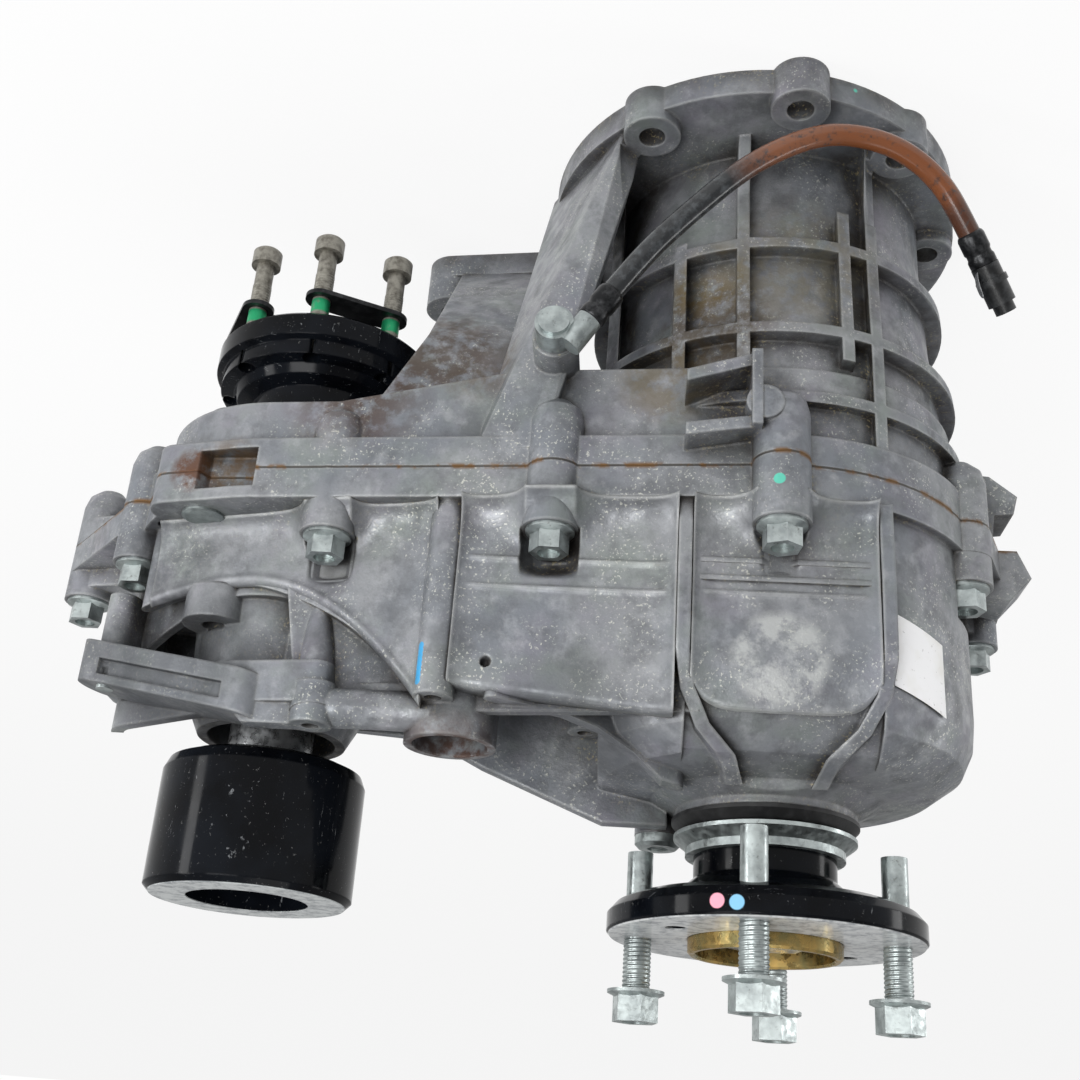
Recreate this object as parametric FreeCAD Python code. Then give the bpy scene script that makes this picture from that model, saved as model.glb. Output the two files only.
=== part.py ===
import FreeCAD, Part
import math
import os

# Two-speed transfer case, in millimetres.  The adapter face is the plane z = 0 and the main shaft
# is the Z axis.  +Z runs to the rear output and +X from the main shaft to the front output shaft.

V = FreeCAD.Vector
UP = V(0, 0, 1)

# ---- driving dimensions -------------------------------------------------------------------------
shaft_gap = 200.0            # main shaft to front output shaft
split_z = 170.0              # plane where the two case halves meet
seat_z = 195.0               # faces under the heads of the case bolts
shoulder_z = 262.0           # where the rear housing turns in to its nose
flange_face_z = 330.0        # mounting face of the rear flange

wall = 6.0                   # case wall
fit_gap = 0.05               # radial clearance of bearings and bushed shafts
loose_gap = 0.4              # clearance between turning and standing pieces
side_play = 0.3              # end float of the planet gears
bolt_gap = 0.3               # radial clearance round a screw

# adapter face
adapter_plate = 12.0         # thickness of the adapter flange
ear_h = 17.0                 # height of the ears above the adapter face
ear_hole_r = 5.5
ear_r = 12.0
ears = [(-73.0, -8.0), (-49.0, -73.0), (-4.5, -101.5), (55.0, -84.0),
        (88.0, 30.0), (40.0, 88.0), (-34.0, 88.0)]
side_ear = (152.0, 38.0)     # the ear far out under the chain housing
adapter_r = 90.0             # round rim between the ears
adapter_centres = [(8.0, -16.0), (4.0, 2.0)]
recess_r = 52.0              # round recess in the adapter face
recess_depth = 20.0

# front half
waist_r = 69.5
waist_z = 28.0
bell_top_r = 76.0
rib_height = 7.0
rib_t = 5.0
flange_t = 13.0              # thickness of the joint flange on each half
wing_front_z = 124.0         # front wall of the chain housing beside the bell
wing_low_z = 137.0           # front wall of the chain housing at the front output
wing_r = 60.0                # chain housing round the front output shaft
wing_main_r = 78.0           # chain housing round the main shaft
lip = 6.0                    # how far the joint flange stands out from the chain housing

# rear half
rear_r = 80.6                # rear housing round the main shaft
panel_y = 74.0               # distance of the flat panel from the main shaft
panel_half = 34.0
nose_r = 35.6
nose_z = 285.0
cover_z = 212.0              # rear face of the chain cover
skirt_z = 262.0              # rear edge of the skirt beside the chain cover
skirt_main_r = 73.0
skirt_front_r = 41.0
skirt_t = 5.0
tray_boss = (72.0, -8.0)     # small boss in the open tray
hood_line = [(250.0, -28.5), (126.0, -59.0)]     # plan of the hood over the window
hood_t = 7.0
arm_pin_at = (262.0, -29.0)
arm_pin_r = 3.4
arm_pin_z = 244.0            # floor of the pin's hole

# case bolts, M8 with a flange under the head
case_bolts = [(-75.0, -32.0), (2.0, -84.5), (87.0, -71.5), (174.5, -58.0), (262.0, -20.0),
              (-93.0, 34.0), (-40.0, 80.0), (60.0, 75.5), (150.0, 65.0), (238.0, 57.0), (300.0, 26.0)]
case_boss_r = 10.8
case_bolt_r = 4.0
case_head_flange_r = 9.35
case_hex = 13.0
case_head_h = 9.5
case_bolt_reach = 15.0       # depth of the bolt in the front half
dome_h = 20.0                # height of the boss on the front half

# rear flange on the main shaft
flange_r = 60.0
flange_disc_t = 16.5
flange_hub_r = 27.5
pilot_r = 29.1
pilot_in_r = 26.0
pilot_h = 5.55
pilot_seat_depth = 3.0       # the ring is pressed this deep into the flange
flange_bolt_pcd = 97.0
flange_bolt_turn = 10.0      # degrees from the -Y direction
flange_bolt_r = 5.0
flange_bolt_len = 52.0
flange_bolt_head_gap = 19.0  # thread that shows under each loosely fitted head
flange_hex = 15.5
flange_washer_r = 10.9
puller_r = 4.0
puller_pcd = 84.0
deflector_r = 30.8

# front output
cv_r = 49.0
cv_z = 85.0                  # adapter side of the joint flange
cv_disc_t = 19.0
cv_neck_r = 30.0
cv_neck_len = 17.0
cv_bore_r = 24.0
cv_bore_depth = 14.0
cv_bolt_pcd = 84.0
cv_bolt_len = 74.0
cv_bolt_r = 4.0
cv_holes = 8
cv_first = -140.0            # degrees, first of the screws that stand in the flange
cv_screws = 3
damper_r = 40.4
damper_bore_r = 23.7
damper_z = 273.0
damper_len = 53.0
damper_round = 6.0
front_shaft_r = 17.0

# geartrain
main_shaft_r = 18.0
input_r = 22.0
input_bore_r = 15.0
input_bore_len = 36.0
input_z = 21.0
sun_teeth = 44
planet_teeth = 14
ring_teeth = 72
gear_module = 1.55
gear_z = 62.0
gear_w = 22.0
planet_count = 4
planet_pin_r = 4.0
carrier_t = 7.0
sleeve_r = 33.0
sleeve_w = 14.0
range_z = 104.0
mode_z = 194.0
shift_travel = 8.0
hub_tip_r = 26.0
rail_inset = 22.6            # from the outside of the rear housing in to the shift rail
rail_r = 4.5
rail_hub_r = 7.3
rail_end = 208.0
rail_boss_r = 9.0
sprocket_r = 43.0
sprocket_root_r = 39.5
sprocket_teeth = 32
chain_pitch_r = 48.0
chain_half = 4.6
chain_links = 60
chain_w = 26.0
chain_z = 144.0
bearing_w = 16.0
main_bearing_r = 34.0
main_bearing_z = 256.0
input_bearing_r = 40.0
input_bearing_z = 24.0
front_bearing_r = 30.0

# vent hose: centre line from the fitting to the loose end
hose_r = 4.4
hose_route = [(75.5, -97.0, 117.0), (58.0, -101.0, 91.5), (38.0, -104.0, 70.0), (16.5, -106.5, 49.0),
              (-8.0, -107.0, 34.5), (-27.0, -104.0, 31.0), (-45.5, -99.0, 34.0), (-61.0, -91.5, 43.0),
              (-71.5, -83.0, 57.0), (-80.5, -74.0, 70.5)]
fitting_at = V(89.0, -90.0, 121.0)
fitting_r = 7.5

shapes = {}


# ---- small helpers ------------------------------------------------------------------------------
def disc(radius, z0, z1, x=0.0, y=0.0):
    """Upright cylinder between two heights."""
    return Part.makeCylinder(radius, z1 - z0, V(x, y, z0), UP)


def tube(outer, inner, z0, z1, x=0.0, y=0.0):
    """Upright ring between two heights."""
    return disc(outer, z0, z1, x, y).cut(disc(inner, z0 - 1, z1 + 1, x, y))


def block(x0, y0, z0, x1, y1, z1):
    """Box between two corners."""
    return Part.makeBox(x1 - x0, y1 - y0, z1 - z0, V(x0, y0, z0))


def belt_wire(circles, z=0.0):
    """Closed line drawn tight round circles (x, y, r) that are listed counter-clockwise."""
    count = len(circles)
    normals = []
    for i in range(count):
        x1, y1, r1 = circles[i]
        x2, y2, r2 = circles[(i + 1) % count]
        gap = math.hypot(x2 - x1, y2 - y1)
        dx, dy = (x2 - x1) / gap, (y2 - y1) / gap
        along = (r1 - r2) / gap
        side = math.sqrt(1 - along * along)
        normals.append((along * dx + side * dy, along * dy - side * dx))
    edges = []
    for i in range(count):
        x1, y1, r1 = circles[i]
        x2, y2, r2 = circles[(i + 1) % count]
        n_in, n_out = normals[i - 1], normals[i]
        a0 = math.atan2(n_in[1], n_in[0])
        a1 = math.atan2(n_out[1], n_out[0])
        if a1 < a0:
            a1 += 2 * math.pi
        mid = (a0 + a1) / 2
        start = V(x1 + r1 * n_in[0], y1 + r1 * n_in[1], z)
        middle = V(x1 + r1 * math.cos(mid), y1 + r1 * math.sin(mid), z)
        end = V(x1 + r1 * n_out[0], y1 + r1 * n_out[1], z)
        edges.append(Part.Arc(start, middle, end).toShape())
        edges.append(Part.makeLine(end, V(x2 + r2 * n_out[0], y2 + r2 * n_out[1], z)))
    return Part.Wire(edges)


def belt(circles, z0, z1):
    """Plate whose outline is a belt round circles."""
    return Part.Face(belt_wire(circles, z0)).extrude(V(0, 0, z1 - z0))


def turned(profile, x=0.0, y=0.0):
    """Solid turned from (r, z) corners about an upright axis."""
    points = [V(x + r, y, z) for r, z in profile]
    face = Part.Face(Part.makePolygon(points + points[:1]))
    return face.revolve(V(x, y, 0), UP, 360)


def side_plate(corners, y0, y1):
    """Plate with its outline in the XZ plane, between two values of y."""
    points = [V(x, y0, z) for x, z in corners]
    return Part.Face(Part.makePolygon(points + points[:1])).extrude(V(0, y1 - y0, 0))


def folded_wall(low, high, z0, z1):
    """Solid between two outlines with as many corners, its sides folded into flat triangles."""
    a = [V(x, y, z0) for x, y in low]
    b = [V(x, y, z1) for x, y in high]
    faces = [Part.Face(Part.makePolygon(a + a[:1])), Part.Face(Part.makePolygon(b + b[:1]))]
    for i in range(len(a)):
        j = (i + 1) % len(a)
        faces.append(Part.Face(Part.makePolygon([a[i], a[j], b[j], a[i]])))
        faces.append(Part.Face(Part.makePolygon([a[i], b[j], b[i], a[i]])))
    shell = Part.makeShell(faces)
    shell.sewShape()
    solid = Part.makeSolid(shell)
    if solid.Volume < 0:
        solid.reverse()
    return solid


def end_plate(corners, x0, x1):
    """Plate with its outline in the YZ plane, between two values of x."""
    points = [V(x0, y, z) for y, z in corners]
    return Part.Face(Part.makePolygon(points + points[:1])).extrude(V(x1 - x0, 0, 0))


def hexagon(across, z0, z1, x=0.0, y=0.0, turn=0.0):
    """Upright hexagonal prism, given across its flats."""
    r = across / math.sqrt(3)
    points = []
    for i in range(6):
        a = math.radians(60 * i + turn)
        points.append(V(x + r * math.cos(a), y + r * math.sin(a), z0))
    return Part.Face(Part.makePolygon(points + points[:1])).extrude(V(0, 0, z1 - z0))


def toothed(tip, root, count, z0, z1, x=0.0, y=0.0, land=0.3, inward=False):
    """Toothed disc, or the toothed hole of a ring, drawn as a wire with four corners a tooth."""
    step = 2 * math.pi / count
    points = []
    for i in range(count):
        a = i * step
        wide = 0.5 if inward else land
        narrow = land if inward else 0.5
        points.append(V(x + root * math.cos(a - narrow * step), y + root * math.sin(a - narrow * step), z0))
        points.append(V(x + tip * math.cos(a - land * step / 2), y + tip * math.sin(a - land * step / 2), z0))
        points.append(V(x + tip * math.cos(a + land * step / 2), y + tip * math.sin(a + land * step / 2), z0))
    return Part.Face(Part.makePolygon(points + points[:1])).extrude(V(0, 0, z1 - z0))


def polar(radius, degrees):
    """Point at a radius and an angle about the main shaft."""
    return radius * math.cos(math.radians(degrees)), radius * math.sin(math.radians(degrees))


def fused(base, pieces):
    """One solid from a base and what stands on it."""
    return base.fuse(pieces).removeSplitter()


def group(pieces):
    """Separate solids of one node."""
    return Part.makeCompound(pieces)


sun_r = gear_module * sun_teeth / 2
planet_r = gear_module * planet_teeth / 2
planet_orbit = sun_r + planet_r
ring_r = gear_module * ring_teeth / 2
ring_seat_r = ring_r + 8
rail_start = gear_z + gear_w + 4
pilot_seat_r = pilot_r - 0.8
rail_x = rear_r - rail_inset
gear_room_r = rail_x + rail_hub_r + 1.2      # room for the shift gear behind the ring gear
chain_room_z = chain_z - 1.5
boss_end = cv_z + cv_disc_t + cv_neck_len + 2.0
tray_x = rear_r - 14.6                       # wall of the rear housing beside the open tray


# ---- outlines that the two halves share ---------------------------------------------------------
def joint_flange(z0, z1):
    """Joint flange: the chain housing's outline, a lip wider, with an ear at each case bolt."""
    plate = belt([(0, 0, wing_main_r + lip), (shaft_gap, 0, wing_r + lip)], z0, z1)
    ears_out = []
    for x, y in case_bolts:
        middle = min(max(x, 0), shaft_gap)
        ears_out.append(belt([(middle + 0.6 * (x - middle), 0.6 * y, case_boss_r), (x, y, case_boss_r)], z0, z1))
    bulge = belt([(240, -48, 10), (205, -56, 10)], z0, z1)
    return plate.fuse(ears_out + [bulge])


def flange_notch():
    """Pocket across the joint in the edge of the flange, with a slanting side."""
    plan = [(205, -80), (243, -80), (226, -55), (205, -56.5)]
    return folded_wall(plan, plan, split_z - 9, split_z + 8)


def chain_space(z0, z1):
    """Inside of the chain housing."""
    return belt([(0, 0, wing_main_r - wall), (shaft_gap, 0, wing_r - wall)], z0, z1)


# ---- front half of the case ---------------------------------------------------------------------
def bell_profile(extra):
    """Outer line of the bell from the adapter flange to the joint flange, grown by a rib height."""
    return [(0, 8.0), (waist_r + 2 * extra, 8.0), (waist_r + extra, waist_z + 10), (waist_r + 2 + extra, 79),
            (bell_top_r - 1.5 + extra, 112), (bell_top_r + extra, split_z - flange_t), (bell_top_r + extra, split_z - 4),
            (0, split_z - 4)]


def adapter_flange():
    """Adapter plate, with a raised ear round each bolt hole."""
    rim = [disc(adapter_r, 0, adapter_plate, x, y) for x, y in adapter_centres]
    for x, y in ears:
        rim.append(belt([(0.72 * x, 0.72 * y, 1.6 * ear_r), (x, y, ear_r)], 0, adapter_plate))
    plate = rim[0].fuse(rim[1:])
    x, y = side_ear
    arm = belt([(ears[4][0], ears[4][1], ear_r), (x, y, ear_r + 1)], 0, adapter_plate)
    raised = [disc(ear_r, 0, ear_h, ex, ey) for ex, ey in ears]
    raised.append(disc(ear_r + 1, 0, ear_h + 8, x, y))
    return plate.fuse([arm] + raised)


def bell_ribs():
    """Grid of ribs on the bell: upright plates and rings, trimmed to a line outside the wall."""
    envelope = turned(bell_profile(rib_height))
    plates = []
    upright = [(-37.0, 10, 166), (-25.0, 45, 120), (16.0, 10, 132), (41.0, 58, 166), (68.0, 10, 110)]
    for x, z0, z1 in upright:
        plates.append(block(x - rib_t / 2, -120, z0, x + rib_t / 2, -20, z1))
    for x, z0, z1 in [(-45.0, 10, 166), (0.0, 10, 166), (45.0, 10, 166)]:
        plates.append(block(x - rib_t / 2, 20, z0, x + rib_t / 2, 120, z1))
    for z in (64.0, 107.0, 139.0):
        plates.append(disc(120, z - rib_t / 2, z + rib_t / 2))
    return [plate.common(envelope) for plate in plates]


def slanted_wall():
    """Broad flat buttress that runs from the adapter flange down to the chain housing."""
    foot = [(66, -80), (99, -26), (90, -20), (57, -74)]
    head = [(92, -77), (118, -72), (118, -62), (92, -62)]
    return folded_wall(foot, head, 6.0, split_z - 8)


def side_web():
    """Folded web from the near side of the chain housing down to the ear that stands far out."""
    x, y = side_ear
    low = [(84, 26), (x - 6, y - 8), (x - 4, y), (84, 34)]
    bend = [(92, -32), (148, -38), (150, -30), (94, -24)]
    top = [(100, -66), (173, -62), (173, -54), (100, -56)]
    bend_z = 88.0
    return [folded_wall(low, bend, 4.0, bend_z), folded_wall(bend, top, bend_z, split_z - 12)]


def small_bracket():
    """Small three-sided bracket with a boss, beside the joint flange."""
    gusset_a = side_plate([(10, 128), (14, 128), (14, 160), (10, 160)], -97, -70)
    gusset_b = side_plate([(12, 128), (12, 133), (38, 141), (38, 136)], -94, -70)
    gusset_c = side_plate([(12, 155), (12, 160), (38, 164), (38, 159)], -94, -70)
    boss = Part.makeCylinder(7, 24, V(9, -96, 150), V(0, 1, 0))
    return [gusset_a, gusset_b, gusset_c, boss]


def front_hook():
    """Upper hook of the notched lug at the end of the joint flange."""
    return [side_plate([(-70, split_z), (-70, split_z - 36), (-92, split_z - 34), (-103, split_z - 25),
                        (-101, split_z - 17), (-93, split_z - 16), (-91, split_z)], -16, 6)]


def case_dome(x, y):
    """Domed boss on the front half over a case bolt."""
    low = split_z - dome_h
    r = case_boss_r
    return [turned([(0, low - r), (0.5 * r, low - 0.85 * r), (0.87 * r, low - 0.5 * r), (r, low),
                    (r, split_z - 1), (0, split_z - 1)], x, y)]


def front_case():
    bell = turned(bell_profile(0))
    wing = belt([(0, 0, wing_main_r), (shaft_gap, 0, wing_r)], wing_front_z, split_z - 1)
    ramp = side_plate([(104, wing_front_z), (104, wing_front_z - 9), (shaft_gap + 90, wing_front_z - 9),
                       (shaft_gap + 90, wing_low_z), (shaft_gap - 24, wing_low_z)], -120, 120)
    wing = wing.cut(ramp)
    output_boss = turned([(0, wing_low_z + 1), (40, wing_low_z + 1), (36, boss_end), (0, boss_end)], shaft_gap)
    pieces = [adapter_flange(), wing, output_boss, joint_flange(split_z - flange_t, split_z)]
    pieces += bell_ribs() + [slanted_wall()] + side_web() + small_bracket() + front_hook()
    for x, y in case_bolts:
        pieces += case_dome(x, y)
    vent_boss = Part.makeCylinder(fitting_r + 1.5, 30, fitting_at, V(0, 1, 0))
    pad = belt([(186, -40, 12), (226, -34, 12)], wing_low_z - 5, wing_low_z + 1)
    case = bell.fuse(pieces + [vent_boss, pad])

    cuts = [disc(recess_r, -1, recess_depth)]
    cuts.append(disc(input_bearing_r + fit_gap, recess_depth - 1, input_bearing_z + bearing_w))
    cuts.append(disc(input_r + 8, recess_depth, gear_z))
    cuts.append(disc(ring_seat_r + fit_gap, gear_z - 10, rail_start))
    cuts.append(disc(gear_room_r, rail_start, chain_room_z + 1))
    cuts.append(chain_space(chain_room_z, split_z + 1))
    cuts.append(disc(front_shaft_r + 3, cv_z, split_z, shaft_gap))
    cuts.append(disc(front_bearing_r + fit_gap, chain_room_z - bearing_w, chain_room_z + 1, shaft_gap))
    for x, y in case_bolts:
        cuts.append(disc(case_bolt_r + 0.1, split_z - case_bolt_reach - 3, split_z + 1, x, y))
    for x, y in ears:
        cuts.append(disc(ear_hole_r, -1, ear_h + 1, x, y))
    cuts.append(disc(ear_hole_r, -1, ear_h + 9, side_ear[0], side_ear[1]))
    for x, y in ears + [side_ear]:
        top = ear_h + 8 if (x, y) == side_ear else ear_h
        cuts.append(disc(ear_r + 2, top, top + 30, x, y))
    cuts.append(block(31, -96, 78, 38.5, -72, 103))
    cuts.append(flange_notch())
    cuts.append(Part.makeCylinder(3.2, 60, fitting_at - V(0, 1, 0), V(0, 1, 0)))
    cuts.append(block(-300, -300, -50, 400, 300, 0))
    shapes["front_case"] = case.cut(cuts).removeSplitter()


# ---- rear half of the case ----------------------------------------------------------------------
def panel_line(proud):
    """Side view of the near panel from the joint flange to the nose, moved out by a distance."""
    y = -panel_y - proud
    return [(y, split_z + flange_t - 1), (y - 1, shoulder_z - 46), (y, shoulder_z - 24), (y + 3.5, shoulder_z - 10),
            (y + 10, shoulder_z), (y + 20, shoulder_z + 9 + 0.5 * proud), (y + 34, shoulder_z + 15 + proud)]


def panel_ribs():
    """U-shaped rib round the near panel, its legs turned in towards the nose."""
    top = split_z + flange_t - 1
    inner = [(panel_half, top), (panel_half, shoulder_z - 20), (panel_half - 2, shoulder_z - 8),
             (panel_half - 8, shoulder_z + 3), (panel_half - 18, shoulder_z + 12), (panel_half - 22, shoulder_z + 20)]
    outer = [(x + rib_t, z + 0.4 * i) for i, (x, z) in enumerate(inner)]
    legs = []
    for side in (-1, 1):
        corners = inner + outer[::-1]
        legs.append(side_plate([(side * x, z) for x, z in corners], -panel_y - 12, -36))
    keep = end_plate(panel_line(4.5) + [(-30, shoulder_z + 15), (-30, split_z)], -60, 60)
    return [leg.common(keep) for leg in legs]


def rear_housing():
    """Round housing over the rear bearing, with its flat panel, framing ribs and nose."""
    body = turned([(0, split_z + 2), (rear_r, split_z + 2), (rear_r, shoulder_z - 16), (rear_r - 1, shoulder_z - 6),
                   (rear_r - 5, shoulder_z + 3), (rear_r - 16, shoulder_z + 11), (nose_r + 9, nose_z - 8),
                   (nose_r, nose_z - 3), (nose_r, nose_z), (0, nose_z)])
    scoop = end_plate(panel_line(0) + [(-30, nose_z + 9), (-120, nose_z + 9), (-120, split_z + flange_t - 1)],
                      -panel_half - 1, panel_half + 1)
    tray = block(tray_x, -62, cover_z, 120, 100, nose_z + 5)
    body = body.cut([scoop, tray])
    lines = []
    for z in (205.0, 212.0):
        lines.append(block(-panel_half, -panel_y - 2.2, z, panel_half, -panel_y + 4, z + 2.0))
    return body.fuse(panel_ribs() + lines)


def skirt_outline(inset, z0, z1):
    """Solid inside the skirt's outer face, smaller by an inset."""
    return belt([(0, 0, skirt_main_r - inset), (shaft_gap, 0, skirt_front_r - inset),
                 (250.0, 2.0, 17.0 - inset)], z0, z1)


def skirt():
    """Near side wall behind the chain cover, with its arched window and raised lines."""
    ring = skirt_outline(0, split_z + flange_t - 2, skirt_z).cut(skirt_outline(skirt_t, 0, skirt_z + 9))
    near = block(30, -90, 0, 300, -2, 400)
    far = ring.common(block(30, -2, 0, 300, 90, skirt_z - 16))
    ring = ring.common(near)
    arch = Part.Wire([
        Part.Arc(V(140, -90, 251), V(205, -90, 214), V(262, -90, 238)).toShape(),
        Part.makeLine(V(262, -90, 238), V(262, -90, 251)),
        Part.makeLine(V(262, -90, 251), V(140, -90, 251))])
    window = Part.Face(arch).extrude(V(0, 80, 0))
    ring = ring.cut(window)
    lines = []
    for z in (203.0, 213.0):
        band = skirt_outline(-1.2, z, z + 1.6).cut(skirt_outline(2, z - 1, z + 3))
        lines.append(band.common(block(42, -90, 0, 120, -2, 400)))
    return [ring, far] + lines


def rear_posts():
    """Upright ribs with bosses, the open socket and the arm round the window."""
    post = Part.makeCone(4.5, 8.5, 51, V(176, -43, 215), V(-4, -10, 50))
    post = post.fuse(disc(8, 254, 270, 172, -53)).common(block(150, -80, 200, 190, -20, 270))
    pieces = [disc(7.5, split_z + flange_t - 2, 260, 126, -63), post]
    pieces.append(disc(17.4, 226, 272, 121, -42))
    pieces.append(Part.makeCylinder(7.5, 50, V(124, -51, 262), V(1, 0, 0)))
    arm = belt([(200, -49, 9), (266, -24, 9)], 225, 280)
    groove = belt([(210, -55, 3), (262, -35.5, 3)], 225, 280)
    groove = groove.common(side_plate([(280, 237), (190, 259.5), (190, 266), (280, 243.5)], -80, 0))
    arm = arm.common(side_plate([(280, 230), (185, 254), (185, 271), (280, 247)], -80, 0))
    pieces.append(arm.cut(groove))
    pieces.append(belt([(174, -44, 5), (188, -24, 9)], cover_z - 2, 258))
    pieces.append(side_plate([(122, cover_z), (190, cover_z), (180, 262), (166, 262), (122, 254)], -48, -42))
    pieces.append(belt([(126, -63, 7.5), (126, -50, 9)], split_z + flange_t - 2, 257))
    pieces.append(belt([(172, -53, 6), (207, -46, 7)], 246, 262))
    pieces.append(side_plate([(176, 262), (206, 262), (198, 270), (176, 270)], -55, -47))
    pieces.append(belt([(264, -22, 6), (262, 4, 9)], cover_z - 6, 247))
    pieces.append(disc(13, cover_z - 2, 224, 222, -30))
    pieces.append(belt([(222, -30, 5), (210, -12, 5)], cover_z - 2, 222))
    pieces.append(disc(11, cover_z - 2, 250, 85, -32))
    pieces.append(disc(7, cover_z - 2, 254, tray_boss[0], tray_boss[1]))
    pieces.append(disc(9, cover_z - 2, 240, 104, -14))
    return pieces


def window_hood():
    """Wall in front of the window, cut away below by a long arch."""
    wall_z = split_z + flange_t - 2
    ends = [(x, y, hood_t / 2) for x, y in hood_line]
    curve = Part.BSplineCurve()
    curve.interpolate([V(262, -90, 222), V(238, -90, 213), V(207, -90, 210.5), V(184, -90, 218),
                       V(161, -90, 231), V(137, -90, 252), V(118, -90, 272)])
    sides = [Part.makeLine(V(118, -90, 272), V(118, -90, wall_z - 9)),
             Part.makeLine(V(118, -90, wall_z - 9), V(262, -90, wall_z - 9)),
             Part.makeLine(V(262, -90, wall_z - 9), V(262, -90, 222))]
    side_view = Part.Face(Part.Wire([curve.toShape()] + sides)).extrude(V(0, 90, 0))
    return belt(ends, wall_z, 256).common(side_view)


def nose_buttress():
    """Ridge that carries the skirt's rear edge on to the nose."""
    ridge = belt([(104, -62.5, 3.5), (38, -35, 4.5)], 200, nose_z)
    return ridge.common(side_plate([(110, 200), (110, 259), (80, 260.5), (66, 264), (52, 271.5), (42, 280),
                                    (30, 282), (30, 200)], -80, -20))


def rear_wall():
    """Tall web behind the open tray, falling from the nose towards the front output."""
    web = side_plate([(40, cover_z - 2), (150, cover_z - 2), (142, 252), (114, 266), (64, 286), (38, 286)], 6, 13)
    boss = disc(9.5, 250, nose_z + 1, 41, 27)
    return [web, boss]


def rear_lugs():
    """Lugs on the joint flange at the two ends of the case."""
    fork = belt([(-93, 34, 11), (-88, 2, 12), (-75, -32, 11)], split_z, split_z + flange_t)
    hook = side_plate([(-72, 186), (-72, split_z), (-101, split_z), (-106, 182), (-97, 192), (-84, 190)], -16, 6)
    far = belt([(262, -20, 10), (300, 26, 10.8), (270, 30, 10)], split_z, split_z + flange_t)
    return [fork, hook, far]


def rear_case():
    flange = joint_flange(split_z, split_z + flange_t)
    cover = skirt_outline(0, split_z, cover_z)
    hub = turned([(0, cover_z - 4), (38, cover_z - 4), (35, 252), (30, 262), (0, 262)], shaft_gap)
    bosses = []
    for x, y in case_bolts:
        middle = min(max(x, 0), shaft_gap)
        bosses.append(disc(case_boss_r, split_z, seat_z, x, y))
        bosses.append(belt([(middle + 0.72 * (x - middle), 0.72 * y, case_boss_r - 2), (x, y, case_boss_r - 1)],
                           split_z, seat_z - 4))
    body = flange.fuse([cover, hub, rear_housing(), window_hood(), nose_buttress()] + bosses + skirt()
                       + rear_posts() + rear_wall() + rear_lugs())

    cuts = []
    for x, y in case_bolts:
        cuts.append(disc(case_bolt_r + bolt_gap, split_z - 1, seat_z + 1, x, y))
        cuts.append(disc(case_head_flange_r + 1.2, seat_z, seat_z + case_head_h + 6, x, y))
    cuts.append(chain_space(split_z - 1, split_z + flange_t - wall))
    cuts.append(belt([(0, 0, skirt_main_r - wall), (shaft_gap, 0, skirt_front_r - wall)], split_z, cover_z - wall))
    room = turned([(0, split_z - 1), (rear_r - 10, split_z - 1), (rear_r - 10, 240), (48, main_bearing_z),
                   (0, main_bearing_z)])
    panel_room = block(-90, -90, split_z, 90, -panel_y + wall, nose_z)
    tray_room = block(tray_x - wall, -90, cover_z - wall, 90, 90, nose_z)
    cuts.append(room.cut([disc(rail_boss_r, rail_end - 10, nose_z, rail_x), panel_room, tray_room]))
    cuts.append(disc(rail_r + fit_gap, rail_end - 12, rail_end, rail_x))
    cuts.append(disc(main_bearing_r + fit_gap, main_bearing_z - 1, main_bearing_z + bearing_w))
    cuts.append(disc(flange_hub_r + 0.5, main_bearing_z, nose_z + 1))
    cuts.append(disc(front_shaft_r + 3, cover_z - 10, 263, shaft_gap))
    cuts.append(disc(front_bearing_r + fit_gap, cover_z - 10, cover_z + 8, shaft_gap))
    cuts.append(disc(front_shaft_r + 9, 252, 263, shaft_gap))
    cuts.append(disc(14.3, 232, 273, 121, -42))
    cuts.append(disc(3.2, 244, 261, 126, -63))
    cuts.append(disc(3.2, 250, 271, 172, -53))
    cuts.append(disc(5.0, cover_z + 1, 225, 222, -30))
    cuts.append(disc(3.0, 240, 255, tray_boss[0], tray_boss[1]))
    cuts.append(disc(6.0, nose_z - 10, nose_z + 3, 41, 27))
    cuts.append(disc(4.0, split_z + 5, split_z + flange_t + 1, 247, -36))
    cuts.append(disc(arm_pin_r, arm_pin_z, 262, arm_pin_at[0], arm_pin_at[1]))
    cuts.append(flange_notch())
    shapes["rear_case"] = body.cut(cuts).removeSplitter()


# ---- fasteners and plugs ------------------------------------------------------------------------
def flange_screw(x, y, seat, shank, thread_r, hex_across, washer_r, head_h, turn=0.0):
    """Hexagon screw with a flange, its head towards +Z and a shallow hollow in the head."""
    washer = turned([(0, seat), (washer_r, seat), (washer_r, seat + 1.2), (hex_across / 2, seat + 2.6),
                     (0, seat + 2.6)], x, y)
    head = hexagon(hex_across, seat + 1, seat + head_h, x, y, turn)
    hollow = disc(hex_across * 0.33, seat + head_h - 2.2, seat + head_h + 1, x, y)
    return head.fuse([washer, disc(thread_r, seat - shank, seat + 1, x, y)]).cut(hollow)


def case_screws():
    reach = seat_z - split_z + case_bolt_reach
    screws = [flange_screw(x, y, seat_z, reach, case_bolt_r, case_hex, case_head_flange_r, case_head_h, 11 * x)
              for x, y in case_bolts]
    shapes["case_bolts"] = group(screws)


def plug(x, y, seat, r, head_r, depth):
    """Turned plug with a hexagon socket, screwed down from +Z."""
    body = turned([(0, seat - depth), (r, seat - depth), (r, seat), (head_r, seat), (head_r, seat + 3.5),
                   (head_r - 1.5, seat + 5), (0, seat + 5)], x, y)
    return body.cut(hexagon(8, seat - 1, seat + 6, x, y))


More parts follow.
